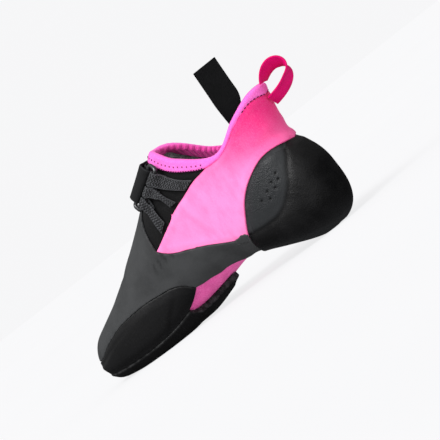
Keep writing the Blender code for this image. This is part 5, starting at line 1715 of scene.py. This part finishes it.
# The camera's view: round the shoe, over the level and rolled, in degrees, and its framing in pixels
VIEW_ROUND = math.radians(34)
VIEW_UP = math.radians(1)
VIEW_ROLL = math.radians(38)
VIEW_CENTRE = Vector((-0.0094, -0.0015, 0.05))
VIEW_DISTANCE = 1.30
FRAME_PIXELS = 440
METRES_PER_PIXEL = 0.000645
CENTRE_PIXEL = (191, 235)
SENSOR = 36.0


def view_axes():
    """The picture's right, its up, and the way back to the camera."""
    flat = math.cos(VIEW_UP)
    back = Vector((math.sin(VIEW_ROUND) * flat, -math.cos(VIEW_ROUND) * flat, math.sin(VIEW_UP)))
    level = Vector((math.cos(VIEW_ROUND), math.sin(VIEW_ROUND), 0))
    high = back.cross(level)
    right = level * math.cos(VIEW_ROLL) - high * math.sin(VIEW_ROLL)
    up = level * math.sin(VIEW_ROLL) + high * math.cos(VIEW_ROLL)
    return right, up, back


def picture_way(towards):
    """A direction given in the picture's right, up and back."""
    return sum((axis * share for axis, share in zip(view_axes(), towards)), Vector()).normalized()


def make_camera():
    right, up, back = view_axes()
    half = FRAME_PIXELS / 2
    shift = (half - CENTRE_PIXEL[0]) * right + (CENTRE_PIXEL[1] - half) * up
    aim = VIEW_CENTRE + METRES_PER_PIXEL * shift
    place = VIEW_CENTRE + back * VIEW_DISTANCE
    away = (place - aim).normalized()
    side = (right - away * right.dot(away)).normalized()
    data = bpy.data.cameras.new("camera")
    data.sensor_width = SENSOR
    data.lens = SENSOR * VIEW_DISTANCE / (FRAME_PIXELS * METRES_PER_PIXEL)
    data.clip_end = 200
    camera = placed("camera", data)
    turned = Matrix((side, away.cross(side), away)).transposed().to_4x4()
    camera.matrix_world = Matrix.Translation(place) @ turned
    bpy.context.scene.camera = camera


def make_light(name, towards, power, size):
    """A soft distant light that comes from a way given in the picture's right, up and back."""
    data = bpy.data.lights.new(name, "SUN")
    data.energy = power
    data.angle = math.radians(size)
    light = placed(name, data)
    light.rotation_mode = "QUATERNION"
    light.rotation_quaternion = picture_way(towards).to_track_quat("Z", "Y")


# The strengths of the world's light away from its window and towards it, the way to the window, and the
# cosines of the angle to it between which the light fades
DARK_SIDE = 0.04
BRIGHT_SIDE = 0.8
WINDOW = (-0.75, 0.60, 0.30)
WINDOW_REACH = (-0.35, 0.85)


def make_world():
    """An even pale backdrop for the camera, and light that fades from the upper left to the right."""
    world = bpy.data.worlds.new("studio")
    made = Nodes(world)
    place = made.node("TexCoord").outputs["Generated"]
    facing = made.node("VectorMath", {0: place, 1: picture_way(WINDOW)}, operation="DOT_PRODUCT")
    lit = made.tree.nodes["Background"]
    made.join((1, 1, 1, 1), lit.inputs["Color"])
    strength = made.step(facing.outputs["Value"], *WINDOW_REACH, DARK_SIDE, BRIGHT_SIDE)
    made.join(strength, lit.inputs["Strength"])
    seen = made.node("Background", {"Color": BACKDROP}).outputs[0]
    to_camera = made.node("LightPath").outputs["Is Camera Ray"]
    mixed = made.node("MixShader", {0: to_camera, 1: lit.outputs[0], 2: seen})
    made.join(mixed.outputs[0], made.tree.nodes["World Output"].inputs[0])
    bpy.context.scene.world = world
    bpy.context.scene.view_settings.view_transform = "Standard"


make_upper()
make_footbed()
make_sole()
make_rand()
make_vamp()
make_cup()
make_quarter()
make_binding()
make_ring()
for ribbon in RIBBONS:
    make_ribbon(ribbon)
make_strap()
make_collar_tab()
make_heel_loop()
make_seams()
make_lap()
make_stage()
make_camera()
make_light("key", (-0.88, 0.42, 0.55), 2.7, 30)
make_light("front", (0.05, 0.30, 1.0), 0.5, 50)
make_world()
